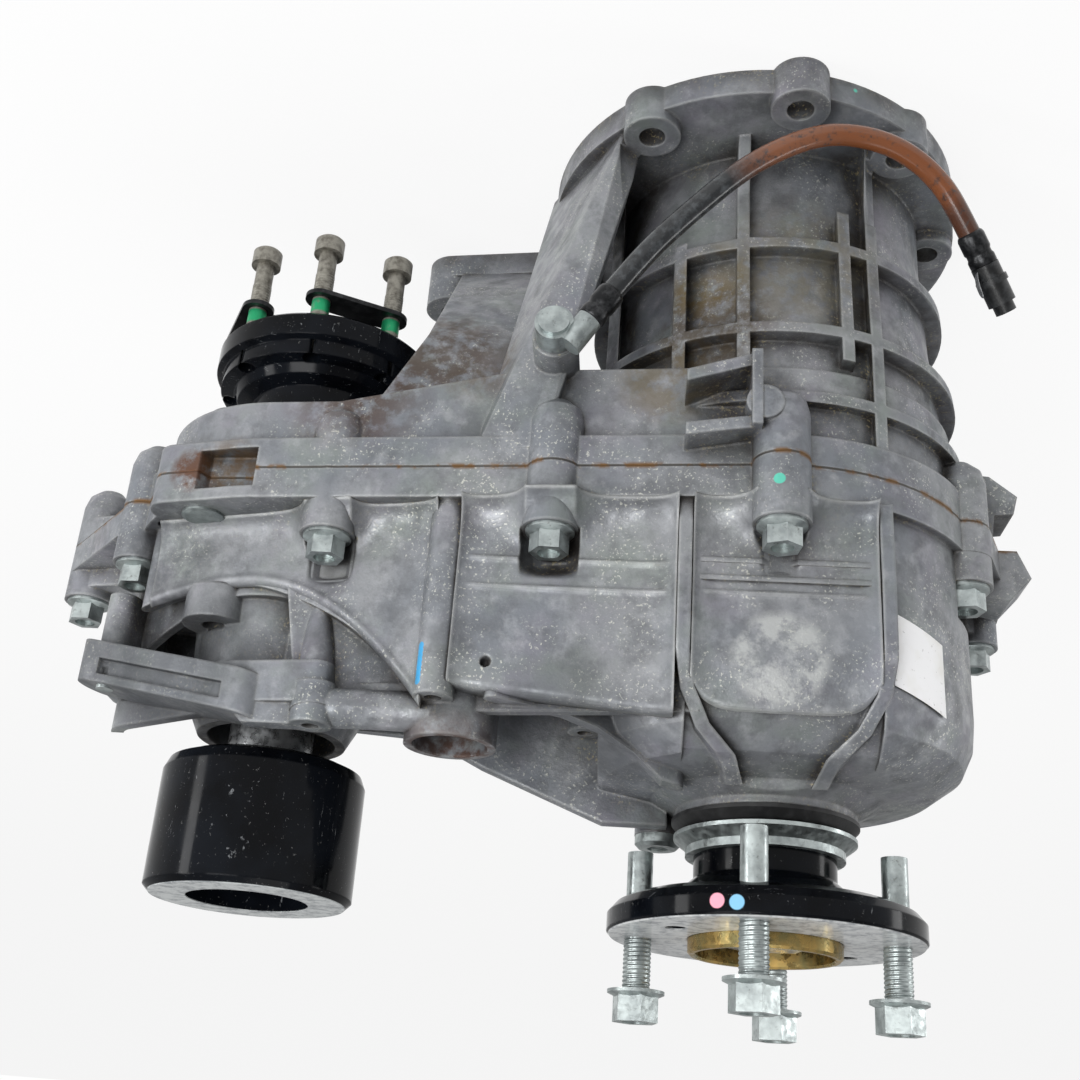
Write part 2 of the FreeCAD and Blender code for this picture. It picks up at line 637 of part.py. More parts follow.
def plugs():
    shapes["fill_plug"] = plug(41, 27, nose_z + 1, 5.7, 9.3, 10)
    top = split_z + flange_t
    shapes["core_plug"] = turned([(0, top), (8.5, top), (8.5, top + 1), (7, top + 1.6), (0, top + 1.6)], 229, -47)
    shapes["arm_pin"] = disc(arm_pin_r, arm_pin_z, arm_pin_z + 8.5, arm_pin_at[0], arm_pin_at[1])


# ---- bearings and seals -------------------------------------------------------------------------
def bearing(name, outer, inner, z0, x=0.0):
    """Ball bearing as two rings and a closed cage ring between them."""
    step = (outer - inner) / 3
    race = tube(outer, outer - step, z0, z0 + bearing_w, x)
    cage = tube(outer - step, inner + step, z0 + 2, z0 + bearing_w - 2, x)
    hub = tube(inner + step, inner, z0, z0 + bearing_w, x)
    shapes[name] = race.fuse([cage, hub]).removeSplitter()


def bearings_and_seals():
    bearing("input_bearing", input_bearing_r, input_r + fit_gap, input_bearing_z)
    bearing("main_bearing", main_bearing_r, main_shaft_r + fit_gap, main_bearing_z)
    bearing("front_output_bearing", front_bearing_r, front_shaft_r + fit_gap, chain_room_z - bearing_w, shaft_gap)
    bearing("front_rear_bearing", front_bearing_r, front_shaft_r + fit_gap, cover_z - 8, shaft_gap)
    shapes["rear_seal"] = turned([(flange_hub_r + 0.3, nose_z), (nose_r + 0.8, nose_z), (nose_r + 0.8, nose_z + 1.5),
                                  (nose_r - 2.5, nose_z + 5), (flange_hub_r + 0.3, nose_z + 5)])


# ---- input shaft and planetary set --------------------------------------------------------------
def input_shaft():
    shaft = tube(input_r, input_bore_r, input_z, gear_z + gear_w)
    sun = toothed(sun_r - 0.25, sun_r - 2.2, sun_teeth, gear_z, gear_z + gear_w)
    shaft = shaft.fuse([sun, disc(input_r - 1, input_z + input_bore_len, gear_z + gear_w)])
    pocket = disc(10.4, gear_z + 8, gear_z + gear_w + 5)
    bore = disc(input_bore_r, input_z - 1, input_z + input_bore_len)
    shapes["input_shaft"] = shaft.cut(pocket).cut(bore).removeSplitter()


def planetary():
    outer = disc(ring_seat_r, gear_z - 2, gear_z + gear_w + 2)
    teeth = toothed(ring_r + 2.0, ring_r + 0.25, ring_teeth, gear_z - 3, gear_z + gear_w + 3, inward=True)
    shapes["ring_gear"] = outer.cut(teeth)
    carrier_r = planet_orbit + 7
    front_z = gear_z - side_play
    back_z = gear_z + gear_w + side_play
    front = tube(carrier_r, input_r + loose_gap, front_z - carrier_t, front_z)
    back = tube(carrier_r, main_shaft_r + loose_gap, back_z, back_z + carrier_t)
    pins = []
    for i in range(planet_count):
        x, y = polar(planet_orbit, 360 / planet_count * i + 45)
        pins.append(disc(planet_pin_r, front_z - 1, back_z + 1, x, y))
        bx, by = polar(planet_orbit + 2, 360 / planet_count * (i + 0.5) + 45)
        pins.append(disc(4.5, front_z - 1, back_z + 1, bx, by))
    shapes["planet_carrier"] = fused(front, [back] + pins)
    for i in range(planet_count):
        x, y = polar(planet_orbit, 360 / planet_count * i + 45)
        gear = toothed(planet_r - 0.25, planet_r - 2.0, planet_teeth, gear_z, gear_z + gear_w, x, y)
        shapes["planet_gear_%d" % (i + 1)] = gear.cut(disc(planet_pin_r + fit_gap, gear_z - 1, gear_z + gear_w + 1, x, y))


# ---- rear output: main shaft, flange and what is bolted to it -----------------------------------
def rear_output():
    step_z = gear_z + gear_w + loose_gap
    shaft = turned([(0, gear_z + 10), (10, gear_z + 10), (10, step_z), (main_shaft_r, step_z),
                    (main_shaft_r, nose_z - 6), (16, nose_z - 6), (16, flange_face_z - 8), (11, flange_face_z - 8),
                    (11, flange_face_z + 1), (0, flange_face_z + 1)])
    range_hub = toothed(hub_tip_r, hub_tip_r - 2, 30, range_z - 6, range_z + 6)
    mode_hub = toothed(hub_tip_r, hub_tip_r - 2, 30, mode_z - 6, mode_z + 6)
    shapes["main_shaft"] = fused(shaft, [range_hub, mode_hub])

    face = flange_face_z
    back = face - flange_disc_t
    body = turned([(16, nose_z - 5), (flange_hub_r, nose_z - 5), (flange_hub_r, back - 6), (flange_hub_r + 9, back + 2),
                   (flange_r - 9, back + 3), (flange_r - 3, back + 5.5), (flange_r, back + 9), (flange_r, face - 1.2),
                   (flange_r - 1.2, face), (pilot_r + loose_gap, face), (pilot_seat_r, face - 1.2),
                   (pilot_seat_r, face - pilot_seat_depth),
                   (22, face - pilot_seat_depth), (22, face - 8),
                   (16, face - 8)])
    holes = []
    bolts = []
    for i in range(4):
        x, y = polar(flange_bolt_pcd / 2, 90 * i - 90 + flange_bolt_turn)
        holes.append(disc(flange_bolt_r + fit_gap, back - 1, face + 1, x, y))
        seat = face + flange_bolt_head_gap
        bolts.append(flange_screw(x, y, seat, flange_bolt_len, flange_bolt_r, flange_hex, flange_washer_r, 11.5, 17))
    for i in range(2):
        x, y = polar(puller_pcd / 2, 180 * i - 45 + flange_bolt_turn)
        holes.append(disc(puller_r, back - 1, face + 1, x, y))
    shapes["rear_flange"] = body.cut(holes)
    shapes["flange_bolts"] = group(bolts)
    shapes["pilot_ring"] = turned([(pilot_in_r, face - pilot_seat_depth), (pilot_seat_r, face - pilot_seat_depth),
                                   (pilot_seat_r, face), (pilot_r, face), (pilot_r, face + pilot_h - 1),
                                   (pilot_r - 1, face + pilot_h), (pilot_in_r + 0.6, face + pilot_h),
                                   (pilot_in_r, face + pilot_h - 0.8)])
    nut = hexagon(32, face - 8, face + 1, turn=15)
    shapes["flange_nut"] = nut.cut(disc(11 + fit_gap, face - 10, face + 2))
    top = nose_z + 14
    shapes["dust_deflector"] = turned([(flange_hub_r, top - 8), (deflector_r + 4.6, top - 8),
                                       (deflector_r + 4.6, top - 6.5), (deflector_r, top - 3), (deflector_r, top),
                                       (flange_hub_r, top)])


# ---- clutches and shift gear --------------------------------------------------------------------
def shift_gear():
    groove = 6.0
    for name, z in (("range_sleeve", range_z), ("mode_sleeve", mode_z)):
        half = sleeve_w / 2
        bore = hub_tip_r + loose_gap
        ring = turned([(bore, z - half), (sleeve_r, z - half), (sleeve_r, z - groove / 2), (sleeve_r - 3, z - groove / 2),
                       (sleeve_r - 3, z + groove / 2), (sleeve_r, z + groove / 2), (sleeve_r, z + half),
                       (bore, z + half)])
        shapes[name] = ring
    shapes["shift_rail"] = disc(rail_r, rail_start, rail_end, rail_x)
    for name, z, height in (("range_fork", range_z, 12.0), ("mode_fork", mode_z, 12.0)):
        thick = groove - 2 * loose_gap
        hub = tube(rail_hub_r, rail_r + fit_gap, z - height / 2, z + height / 2, rail_x)
        arm = belt([(0, 0, 37.0), (rail_x, 0, rail_r + 2.5)], z - thick / 2, z + thick / 2)
        hole = disc(sleeve_r - 3 + loose_gap, z - 5, z + 5)
        open_side = block(-60, -60, z - 8, -2, 60, z + 8)
        arm = arm.cut([hole, open_side, disc(rail_r + 1, z - 8, z + 8, rail_x)])
        shapes[name] = fused(hub, [arm])


# ---- chain drive --------------------------------------------------------------------------------
def chain_drive():
    z0, z1 = chain_z, chain_z + chain_w
    wheel = toothed(sprocket_r, sprocket_root_r, sprocket_teeth, z0, z1)
    hub = disc(26, z0 - 1, z1 + 4)
    shapes["drive_sprocket"] = wheel.fuse(hub).cut(disc(main_shaft_r + fit_gap, z0 - 9, z1 + 9)).removeSplitter()
    wheel = toothed(sprocket_r, sprocket_root_r, sprocket_teeth, z0, z1, shaft_gap)
    hub = disc(24, z0 - 1, z1 + 4, shaft_gap)
    shapes["driven_sprocket"] = wheel.fuse(hub).cut(disc(front_shaft_r + 0.02, z0 - 9, z1 + 9, shaft_gap)).removeSplitter()

    straight = shaft_gap
    bend = math.pi * chain_pitch_r
    whole = 2 * straight + 2 * bend
    pitch = whole / chain_links
    links = []
    for i in range(chain_links):
        s = (i + 0.5) * pitch
        if s < straight:
            x, y, turn = s, -chain_pitch_r, 0.0
        elif s < straight + bend:
            turn = (s - straight) / chain_pitch_r
            x = shaft_gap + chain_pitch_r * math.sin(turn)
            y = -chain_pitch_r * math.cos(turn)
        elif s < 2 * straight + bend:
            x, y, turn = shaft_gap - (s - straight - bend), chain_pitch_r, math.pi
        else:
            turn = math.pi + (s - 2 * straight - bend) / chain_pitch_r
            x = chain_pitch_r * math.sin(turn)
            y = -chain_pitch_r * math.cos(turn)
        reach = pitch / 2 - 0.2
        outline = [(-reach + 1.4, -chain_half), (reach - 1.4, -chain_half), (reach, 0), (reach - 1.4, chain_half),
                   (-reach + 1.4, chain_half), (-reach, 0)]
        points = []
        for u, v in outline:
            points.append(V(x + u * math.cos(turn) - v * math.sin(turn), y + u * math.sin(turn) + v * math.cos(turn),
                            z0 + 1))
        links.append(Part.Face(Part.makePolygon(points + points[:1])).extrude(V(0, 0, chain_w - 2)))
    shapes["chain"] = group(links)


# ---- front output -------------------------------------------------------------------------------
def front_output():
    gap = shaft_gap
    neck_end = cv_z + cv_disc_t + cv_neck_len
    shapes["front_shaft"] = turned([(0, cv_z + cv_bore_depth), (13, cv_z + cv_bore_depth), (13, neck_end),
                                    (front_shaft_r, neck_end), (front_shaft_r, damper_z + 12),
                                    (12, damper_z + 12), (12, damper_z + damper_len - 18),
                                    (0, damper_z + damper_len - 18)], gap)
    z0 = cv_z
    z1 = cv_z + cv_disc_t
    body = turned([(cv_bore_r, z0), (cv_r - 1.5, z0), (cv_r, z0 + 1.5), (cv_r, z0 + 11), (cv_r - 3, z0 + 12.5),
                   (cv_r - 3, z1), (cv_neck_r + 10, z1 + 1), (cv_neck_r + 8, z1 + 5), (cv_neck_r + 1, z1 + 7),
                   (cv_neck_r - 1, neck_end), (13, neck_end), (13, z0 + cv_bore_depth), (cv_bore_r, z0 + cv_bore_depth)], gap)
    bolts = []
    holes = []
    straps = []
    spots = []
    for i in range(cv_holes):
        x, y = polar(cv_bolt_pcd / 2, cv_first + 360 / cv_holes * i)
        holes.append(disc(cv_bolt_r + 0.02, z0 - 1, z1 + 1, x + gap, y))
        spots.append((x + gap, y))
    for x, y in spots[:cv_screws]:
        low = z0 - 42
        screw = turned([(0, low), (5.5, low), (6.5, low + 1), (6.5, low + 8), (cv_bolt_r, low + 8),
                        (cv_bolt_r, z0 + 12), (0, z0 + 12)], x, y)
        bolts.append(screw.cut(hexagon(6, low - 1, low + 4, x, y)))
    pairs = [(spots[0], spots[1]), (spots[2], spots[3])]
    for (xa, ya), (xb, yb) in pairs:
        strap = belt([(xa, ya, 7.0), (xb, yb, 7.0)], z0 - 12, z0 - 10)
        straps.append(strap.cut([disc(cv_bolt_r + 0.02, z0 - 20, z0, xa, ya), disc(cv_bolt_r + 0.02, z0 - 20, z0, xb, yb)]))
    shapes["cv_flange"] = body.cut(holes)
    shapes["cv_bolts"] = group(bolts)
    shapes["cv_straps"] = group(straps)


def damper():
    z0 = damper_z
    z1 = damper_z + damper_len
    r = damper_r
    soft = damper_round
    profile = [(12, z0 + 12), (front_shaft_r, z0 + 12), (front_shaft_r, z0), (r - soft, z0),
               (r - 0.3 * soft, z0 + 0.3 * soft), (r, z0 + soft), (r, z1 - 2.5), (r - 2.5, z1),
               (damper_bore_r, z1), (damper_bore_r, z1 - 18), (12, z1 - 18)]
    shapes["damper"] = turned(profile, shaft_gap)


# ---- vent fitting and hose ----------------------------------------------------------------------
def hose_path(route):
    """Straight runs joined by tangent arcs, each as large as its two runs allow."""
    points = [V(*p) for p in route]
    edges = []
    radii = []
    here = points[0]
    for before, corner, after in zip(points, points[1:], points[2:]):
        a = corner - before
        b = after - corner
        turn = a.getAngle(b)
        cut_back = 0.45 * min(a.Length, b.Length)
        radius = cut_back / math.tan(turn / 2)
        radii.append(radius)
        start = corner - a * (cut_back / a.Length)
        end = corner + b * (cut_back / b.Length)
        inward = (end - corner) / cut_back + (start - corner) / cut_back
        inward.normalize()
        middle = corner + inward * (radius / math.cos(turn / 2) - radius)
        edges.append(Part.LineSegment(here, start).toShape())
        edges.append(Part.Arc(start, middle, end).toShape())
        here = end
    edges.append(Part.LineSegment(here, points[-1]).toShape())
    return Part.Wire(edges), radii


def vent_hose():
    path, radii = hose_path(hose_route)
    start, second = V(*hose_route[0]), V(*hose_route[1])
    ring = Part.Wire(Part.makeCircle(hose_r, start, second - start))
    hose = path.makePipeShell([ring], True, False)
    print("hose radii", [round(r) for r in radii], "length", round(path.Length, 1),
          "volume ratio", round(hose.Volume / (math.pi * hose_r ** 2 * path.Length), 4))
    shapes["vent_hose"] = hose

    into = (start - second).normalize()
    eye = Part.makeCylinder(fitting_r, 10, fitting_at - V(0, 10, 0), V(0, 1, 0))
    cap = Part.makeCylinder(fitting_r - 1.5, 2, fitting_at - V(0, 12, 0), V(0, 1, 0))
    stub = Part.makeCylinder(3.1, 14, fitting_at - V(0, 2, 0), V(0, 1, 0))
    neck = Part.makeCylinder(5.0, 14, start, into)
    shapes["vent_fitting"] = fused(eye, [cap, stub, neck])

    last, before = V(*hose_route[-1]), V(*hose_route[-2])
    out = (last - before).normalize()
    body = Part.makeCylinder(5.6, 17, last, out)
    tip = Part.makeCylinder(4.2, 4, last + out * 17, out)
    collar = Part.makeCylinder(6.4, 2.5, last + out * 6, out)
    shapes["hose_connector"] = fused(body, [tip, collar]).cut(Part.makeCylinder(2.5, 14, last + out * 12, out))


# ---- build --------------------------------------------------------------------------------------
def main():
    front_case()
    rear_case()
    case_screws()
    plugs()
    bearings_and_seals()
    input_shaft()
    planetary()
    rear_output()
    shift_gear()
    chain_drive()
    front_output()
    damper()
    vent_hose()
    os.makedirs("parts", exist_ok=True)
    for name, shape in shapes.items():
        shape.exportStep("parts/%s.step" % name)


main()
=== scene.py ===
# %% [markdown]
# # A two-speed transfer case, dressed for the studio
# The real object is a die-cast aluminium case in two halves. A ribbed bell bolts to the gearbox, a
# chain housing reaches sideways to the front output, and a black flange drives the rear axle. This
# lesson adds what a casting drawing leaves out: finishes, threads and the hose.

# %% Load the frame
import bpy
import math
import numpy as np
from mathutils import Matrix, Vector


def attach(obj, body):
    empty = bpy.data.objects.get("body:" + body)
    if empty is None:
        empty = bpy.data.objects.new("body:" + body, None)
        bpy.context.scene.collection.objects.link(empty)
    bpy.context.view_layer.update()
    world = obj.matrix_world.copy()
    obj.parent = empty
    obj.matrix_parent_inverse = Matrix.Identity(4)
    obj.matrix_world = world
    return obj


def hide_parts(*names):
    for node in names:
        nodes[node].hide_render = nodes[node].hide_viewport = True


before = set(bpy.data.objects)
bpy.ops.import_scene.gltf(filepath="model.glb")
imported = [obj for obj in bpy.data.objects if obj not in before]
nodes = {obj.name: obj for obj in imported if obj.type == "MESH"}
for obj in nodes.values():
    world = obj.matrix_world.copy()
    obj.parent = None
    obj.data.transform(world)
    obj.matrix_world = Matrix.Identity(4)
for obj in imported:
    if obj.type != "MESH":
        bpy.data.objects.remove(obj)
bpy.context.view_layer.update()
MM = 0.001

# %% [markdown]
# ## The camera
# A normal lens, 0.6 m from the middle of the case, looks at the side where the hose runs.  The case hangs
# upside down in its view, with the adapter face at the top, so the camera is rolled by half a turn
# and a little more.  Its three axes are worked out from azimuth, elevation and roll, which is easier
# to read back than a list of rotation angles.

# %% Aim the camera
def view_axes(azimuth, elevation, roll):
    """The camera's right, up and back directions: back points from the object to the camera, and
    right and up are then turned about it by the roll."""
    a, e, r = (math.radians(v) for v in (azimuth, elevation, roll))
    back = Vector((math.sin(a) * math.cos(e), -math.cos(a) * math.cos(e), math.sin(e)))
    right = (-back).cross(Vector((0, 0, 1))).normalized()
    up = right.cross(-back)
    return (math.cos(r) * right + math.sin(r) * up, -math.sin(r) * right + math.cos(r) * up, back)


camera_place = (0.0532, -0.5351, 0.4111)
camera_turn = (-4.6, 24.507, 184.263)
camera_data = bpy.data.cameras.new("studio_camera")
camera_data.lens = 45.49
camera_data.sensor_width = 36.0
camera = bpy.data.objects.new("studio_camera", camera_data)
bpy.context.scene.collection.objects.link(camera)
facing = Matrix(view_axes(*camera_turn)).transposed().to_4x4()
camera.matrix_world = Matrix.Translation(camera_place) @ facing
bpy.context.scene.camera = camera
print("camera at", [round(v, 3) for v in camera.location])

# %% [markdown]
# ## The vent hose
# A short rubber hose leaves the vent fitting, rises over the bell and ends in a black connector.  It
# could be swept as a mesh, but a NURBS curve with a round bevel keeps one smooth line, which is how a
# hose bends.  The control points are the route itself.

# %% Lay the hose
hose_route = [(75.5, -97.0, 117.0), (58.0, -101.0, 91.5), (38.0, -104.0, 70.0), (16.5, -106.5, 49.0),
              (-8.0, -107.0, 34.5), (-27.0, -104.0, 31.0), (-45.5, -99.0, 34.0), (-61.0, -91.5, 43.0),
              (-71.5, -83.0, 57.0), (-80.5, -74.0, 70.5)]
hose_r = 4.4 * MM

hose_curve = bpy.data.curves.new("vent_hose_line", "CURVE")
hose_curve.dimensions = "3D"
hose_curve.resolution_u = 24
spline = hose_curve.splines.new("NURBS")
spline.points.add(len(hose_route) - 1)
for control, (x, y, z) in zip(spline.points, hose_route):
    control.co = (x * MM, y * MM, z * MM, 1.0)
    control.radius = hose_r
spline.order_u = 3
spline.use_endpoint_u = True
vent_hose = bpy.data.objects.new("vent_hose_rubber", hose_curve)
bpy.context.scene.collection.objects.link(vent_hose)

line_mesh = bpy.data.meshes.new_from_object(vent_hose)
hose_line = np.empty(len(line_mesh.vertices) * 3)
line_mesh.vertices.foreach_get("co", hose_line)
hose_line = hose_line.reshape(-1, 3)
bpy.data.meshes.remove(line_mesh)
hose_curve.bevel_depth = 1.0
hose_curve.bevel_resolution = 5
hose_curve.use_fill_caps = True

# %% [markdown]
# ## Surfaces from arrays
# Crimp sleeves, threads and the sticker are all grids: two parameters run over an array, and a formula
# gives each point.  One function turns such an array into a mesh, closes it where asked, and leaves
# the object at the origin.

# %% A grid becomes a mesh
def grid_piece(name, points, close_u=False, close_v=False, cap_ends=False):
    """Mesh of an array of points (u, v, 3).  Each cell is one quad from (u, v) to (u+1, v+1), and the
    last row or column joins the first where that direction is closed.  A cap is one face over an end."""
    rows, cols, _ = points.shape
    u = np.arange(rows if close_u else rows - 1)
    v = np.arange(cols if close_v else cols - 1)
    uu, vv = (a.ravel() for a in np.meshgrid(u, v, indexing="ij"))
    un, vn = (uu + 1) % rows, (vv + 1) % cols
    quads = np.stack([uu * cols + vv, un * cols + vv, un * cols + vn, uu * cols + vn], axis=1)
    faces = quads.tolist()
    if cap_ends:
        faces.append(list(range(cols)))
        faces.append([(rows - 1) * cols + i for i in range(cols - 1, -1, -1)])
    mesh = bpy.data.meshes.new(name)
    mesh.from_pydata(points.reshape(-1, 3).tolist(), [], faces)
    mesh.polygons.foreach_set("use_smooth", np.ones(len(faces), dtype=bool))
    mesh.update()
    made = bpy.data.objects.new(name, mesh)
    bpy.context.scene.collection.objects.link(made)
    return made


def turned_about(profile, centre, axis, count=40):
    """Points of a surface of revolution: each (radius, height) corner of the profile is carried round
    the axis, at centre + height * axis + radius * (cos t * side + sin t * other side)."""
    axis = np.array(axis, float) / np.linalg.norm(axis)
    side = np.cross(axis, [0.3, 0.9, 0.1])
    side /= np.linalg.norm(side)
    other = np.cross(axis, side)
    t = np.linspace(0, 2 * np.pi, count, endpoint=False)
    profile = np.array(profile, float)
    round_ = np.cos(t)[:, None] * side + np.sin(t)[:, None] * other
    return (np.array(centre, float) + profile[:, 1, None, None] * axis
            + profile[:, 0, None, None] * round_[None, :, :])


print("grid helpers ready")

# %% [markdown]
# ## Crimp sleeves on the hose
# Each end of the hose is pinched by a short steel sleeve with a rolled groove.  It is a profile turned
# about the hose's own line, so it follows the first and the last few millimetres of that line.

# %% Put the sleeves on
def sleeve(name, start, toward, profile_mm):
    """A turned ring whose axis runs from one point of the hose's line towards another."""
    direction = toward - start
    points = turned_about(np.array(profile_mm) * MM, start, direction)
    return grid_piece(name, points[::-1], close_v=True, cap_ends=True)


crimp = [(0.2, -0.4), (5.0, -0.4), (5.5, 0.4), (5.5, 3.2), (5.0, 4.2), (5.0, 5.6), (5.5, 6.6), (5.5, 12.4),
         (5.1, 13.6), (4.6, 14.2), (0.2, 14.2)]
near_sleeve = sleeve("crimp_sleeve_fitting", hose_line[0], hose_line[10], crimp)
far_sleeve = sleeve("crimp_sleeve_connector", hose_line[-1], hose_line[-12], crimp)
print("sleeves", near_sleeve.name, far_sleeve.name)

# %% [markdown]
# ## Cast skins with soft fillets
# A die-cast wall never meets a boss or a rib at a sharp corner: the metal flows round in a fillet of
# several millimetres.  A wall is therefore made as a height field.  For each place along the case and
# each height, a formula adds up the flat wall, the hollows beside ribs, the raised lines and the recess
# behind a screw's head, and the sheet is closed with an inner face, so it is solid.

# %% Loft a wall from a formula
skin_foot = 183.0        # where every skin leaves the joint flange
seat = 195.0             # height of the faces under the heads of the case screws
lip_round = 2.5          # rounding of a skin's free edge
least_wall = 0.3
head_room = 11.4         # radius of the recess behind a screw's head
boss_half = 9.5          # half the width of a screw's boss


def cast_skin(name, x, high, outer, inner):
    """For each x a closed loop of (y, z): the outer face from the foot to high(x), rounded at its edge,
    and the inner face back again.  The outer face is outer(x, z) and the inner one is inner(x), in mm."""
    share = np.linspace(0, 1, 150)[None, :]
    across = x[:, None]
    low = skin_foot
    z = low + (high(across) - low) * share
    lip = np.clip((z - high(across) + lip_round) / lip_round, 0, 1)
    y = outer(across, z) + lip_round * (1 - np.sqrt(1 - lip ** 2 * 0.999))
    back = inner(across)
    y = np.minimum(y, back - least_wall)
    loop_y = np.concatenate([y, back, back], axis=1)
    loop_z = np.concatenate([z, high(across), low + 0 * across], axis=1)
    points = np.stack([np.repeat(across, loop_y.shape[1], axis=1), loop_y, loop_z], axis=2)
    made = grid_piece(name, points * MM, close_v=True, cap_ends=True)
    made.data.flip_normals()
    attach(made, "case")
    return made


def soft_step(value, start, end):
    """0 before start, 1 after end, and 3 t^2 - 2 t^3 between."""
    t = np.clip((value - start) / (end - start), 0, 1)
    return t * t * (3 - 2 * t)


def near_line(z, level, width=0.9):
    """Rounded ridge: a bell curve about a level."""
    return np.exp(-((z - level) / width) ** 2)


def foot_fillet(z, rise, fade):
    """Hollow where a wall leaves the joint flange: rise * e^(-height over the foot / fade)."""
    return rise * np.exp(-(z - skin_foot) / fade)


def around_screw(x, z, y, at_x, at_y):
    """Gussets that flare from a screw's boss, and a round recess behind its head."""
    aside = np.abs(x - at_x)
    flare = 9.0 * np.exp(-np.clip(aside - boss_half, 0, None) / 4.2)
    y = y - flare * (1 - soft_step(z, seat - 8, seat + 7))
    reach = np.sqrt(np.clip(head_room ** 2 - aside ** 2, 0, None))
    behind = at_y + reach
    depth = soft_step(z, seat - 1.0, seat) * (1 - soft_step(z, seat + 10.0, seat + 19.0))
    return np.where(reach > 0, y + np.clip(behind - y, 0, None) * depth, y)


print("skin helpers ready")

# %% Skirt beside the rear housing
skirt_start, skirt_end = 39.2, 121.0     # from the panel's rib to the upright rib


def skirt_face(x, z):
    """Slanting wall, hollowed beside the ribs at its two ends and the flange, with two raised lines, a
    screw's boss and a small hole."""
    y = -66.6 - 6.0 * (120 - x) / 80
    y = y - 3.6 * np.exp(-(skirt_end - x) / 2.6) - 5.0 * np.exp(-(x - skirt_start) / 3.4)
    y = y - foot_fillet(z, 8.0, 4.5)
    lines = near_line(z, 207.5 - (x - 40) * 0.03) + near_line(z, 218.8 - (x - 40) * 0.03)
    y = y - 1.1 * lines * soft_step(x, 41, 45) * (1 - soft_step(x, 114, 119))
    y = around_screw(x, z, y, 87.0, -71.5)
    hole = 1 - soft_step(np.hypot(x - 107.5, z - 246.5), 1.5, 2.2)
    return y + 5.0 * hole


def skirt_back(x):
    """Just inside the CAD wall, which falls from y = -67.4 at x = 40 to -54.6 at x = 120."""
    return -67.0 + 12.6 * (x - 40) / 80


def skirt_edge(x):
    """The free edge, a straight line that falls towards the rib."""
    return 265.0 - (x - 35.3) * 0.112


skirt_skin = cast_skin("cast_skirt_skin", np.linspace(skirt_start, skirt_end, 190), skirt_edge,
                       skirt_face, skirt_back)
print("skirt skin", skirt_skin.dimensions[:])

# %% Panel between the two ribs
def panel_edge(x):
    """The free edge is a flat arch, highest in the middle: 262 - 10 * (|x| / 33.5) ^ 6."""
    return 262.0 - 10.0 * (np.abs(x) / 33.5) ** 6


def panel_face(x, z):
    """Nearly flat wall with a fillet along both ribs and the flange, raised lines and a dished edge."""
    y = -74.6 - 0.6 * (1 - (x / 34) ** 2)
    y = y - 4.2 * np.exp(-(34.0 - np.abs(x)) / 3.0)
    y = y - foot_fillet(z, 7.0, 4.0)
    lines = near_line(z, 206.5) + near_line(z, 218.5)
    y = y - 1.0 * lines * (1 - soft_step(np.abs(x), 27, 31))
    y = around_screw(x, z, y, 2.0, -84.5)
    return y + 3.6 * soft_step(z, 240, 262)


def panel_back(x):
    """Just inside the CAD panel."""
    return -70.5 + 0 * x


panel_skin = cast_skin("cast_panel_skin", np.linspace(-33.6, 33.6, 150), panel_edge, panel_face, panel_back)
print("panel skin", panel_skin.dimensions[:])

# %% Hood over the window
hood_start, hood_end = 130.5, 249.0


def hood_line(x):
    """Middle of the CAD hood's wall, a straight line in plan from (250, -28.5) to (126, -59)."""
    return -28.5 - (250 - x) * 30.5 / 124


def hood_edge(x):
    """Long arch: a parabola with its lowest point at x = 210, steeper towards the upright rib."""
    return 211.0 + np.where(x < 210, 0.0083, 0.0044) * (210 - x) ** 2


def hood_face(x, z):
    """Flat wall, hollowed under the flange and beside the upright rib, with gussets at the screw and a
    raised line along its free edge."""
    y = hood_line(x) - 4.6
    y = y - 4.0 * np.exp(-np.clip(x - hood_start, 0, None) / 3.0) - foot_fillet(z, 7.0, 4.0)
    y = around_screw(x, z, y, 174.5, -58.0)
    return y - 0.9 * near_line(z, hood_edge(x) - 3.0, 1.8)


def hood_back(x):
    """Just inside the front of the CAD hood."""
    return hood_line(x) - 1.5


hood_skin = cast_skin("cast_hood_skin", np.linspace(hood_start, hood_end, 200), hood_edge,
                      hood_face, hood_back)
print("hood skin", hood_skin.dimensions[:])

# %% [markdown]
# ## Clip tab
# A thin spring clip hangs from the crimp by the connector.  It is a flat bar carried along an arc: the
# path is a parabola, and the bar's section is an oval that narrows to the tip.

# %% Bend the clip
def bent_bar(name, start, along, drop, length, width, thick):
    """Oval section carried along a curve: at share s the path is start + length * s * along
    + length * 0.35 * s * s * drop, and the section shrinks to nothing over the last part."""
    along, drop = (np.array(v, float) / np.linalg.norm(v) for v in (along, drop))
    across = np.cross(along, drop)
    across /= np.linalg.norm(across)
    s = np.linspace(0, 1, 22)[:, None, None]
    t = np.linspace(0, 2 * np.pi, 20, endpoint=False)[None, :, None]
    size = np.sqrt(np.clip(1.0 - s ** 6, 0.0004, 1))
    path = np.array(start, float) + length * s * along + length * 0.35 * s * s * drop
    points = path + size * (width / 2 * np.cos(t) * across + thick / 2 * np.sin(t) * np.cross(across, along))
    return grid_piece(name, points[::-1], close_v=True, cap_ends=True)


clip_tab = bent_bar("spring_clip_tab", hose_line[-1] + np.array([2.5, 1.0, 1.0]) * MM, (0.28, -0.15, 0.95),
                    (-1.0, 0.0, 0.35), 15 * MM, 3.4 * MM, 0.9 * MM)
print("clip", clip_tab.name)

# %% [markdown]
# ## Screw threads
# The flange screws and the joint screws stand out, so their threads show.  A thread is a tube whose radius
# goes up and down with the height and with the angle together, which makes the groove climb like a
# staircase.  The tube sits round the plain shank of the CAD screw.

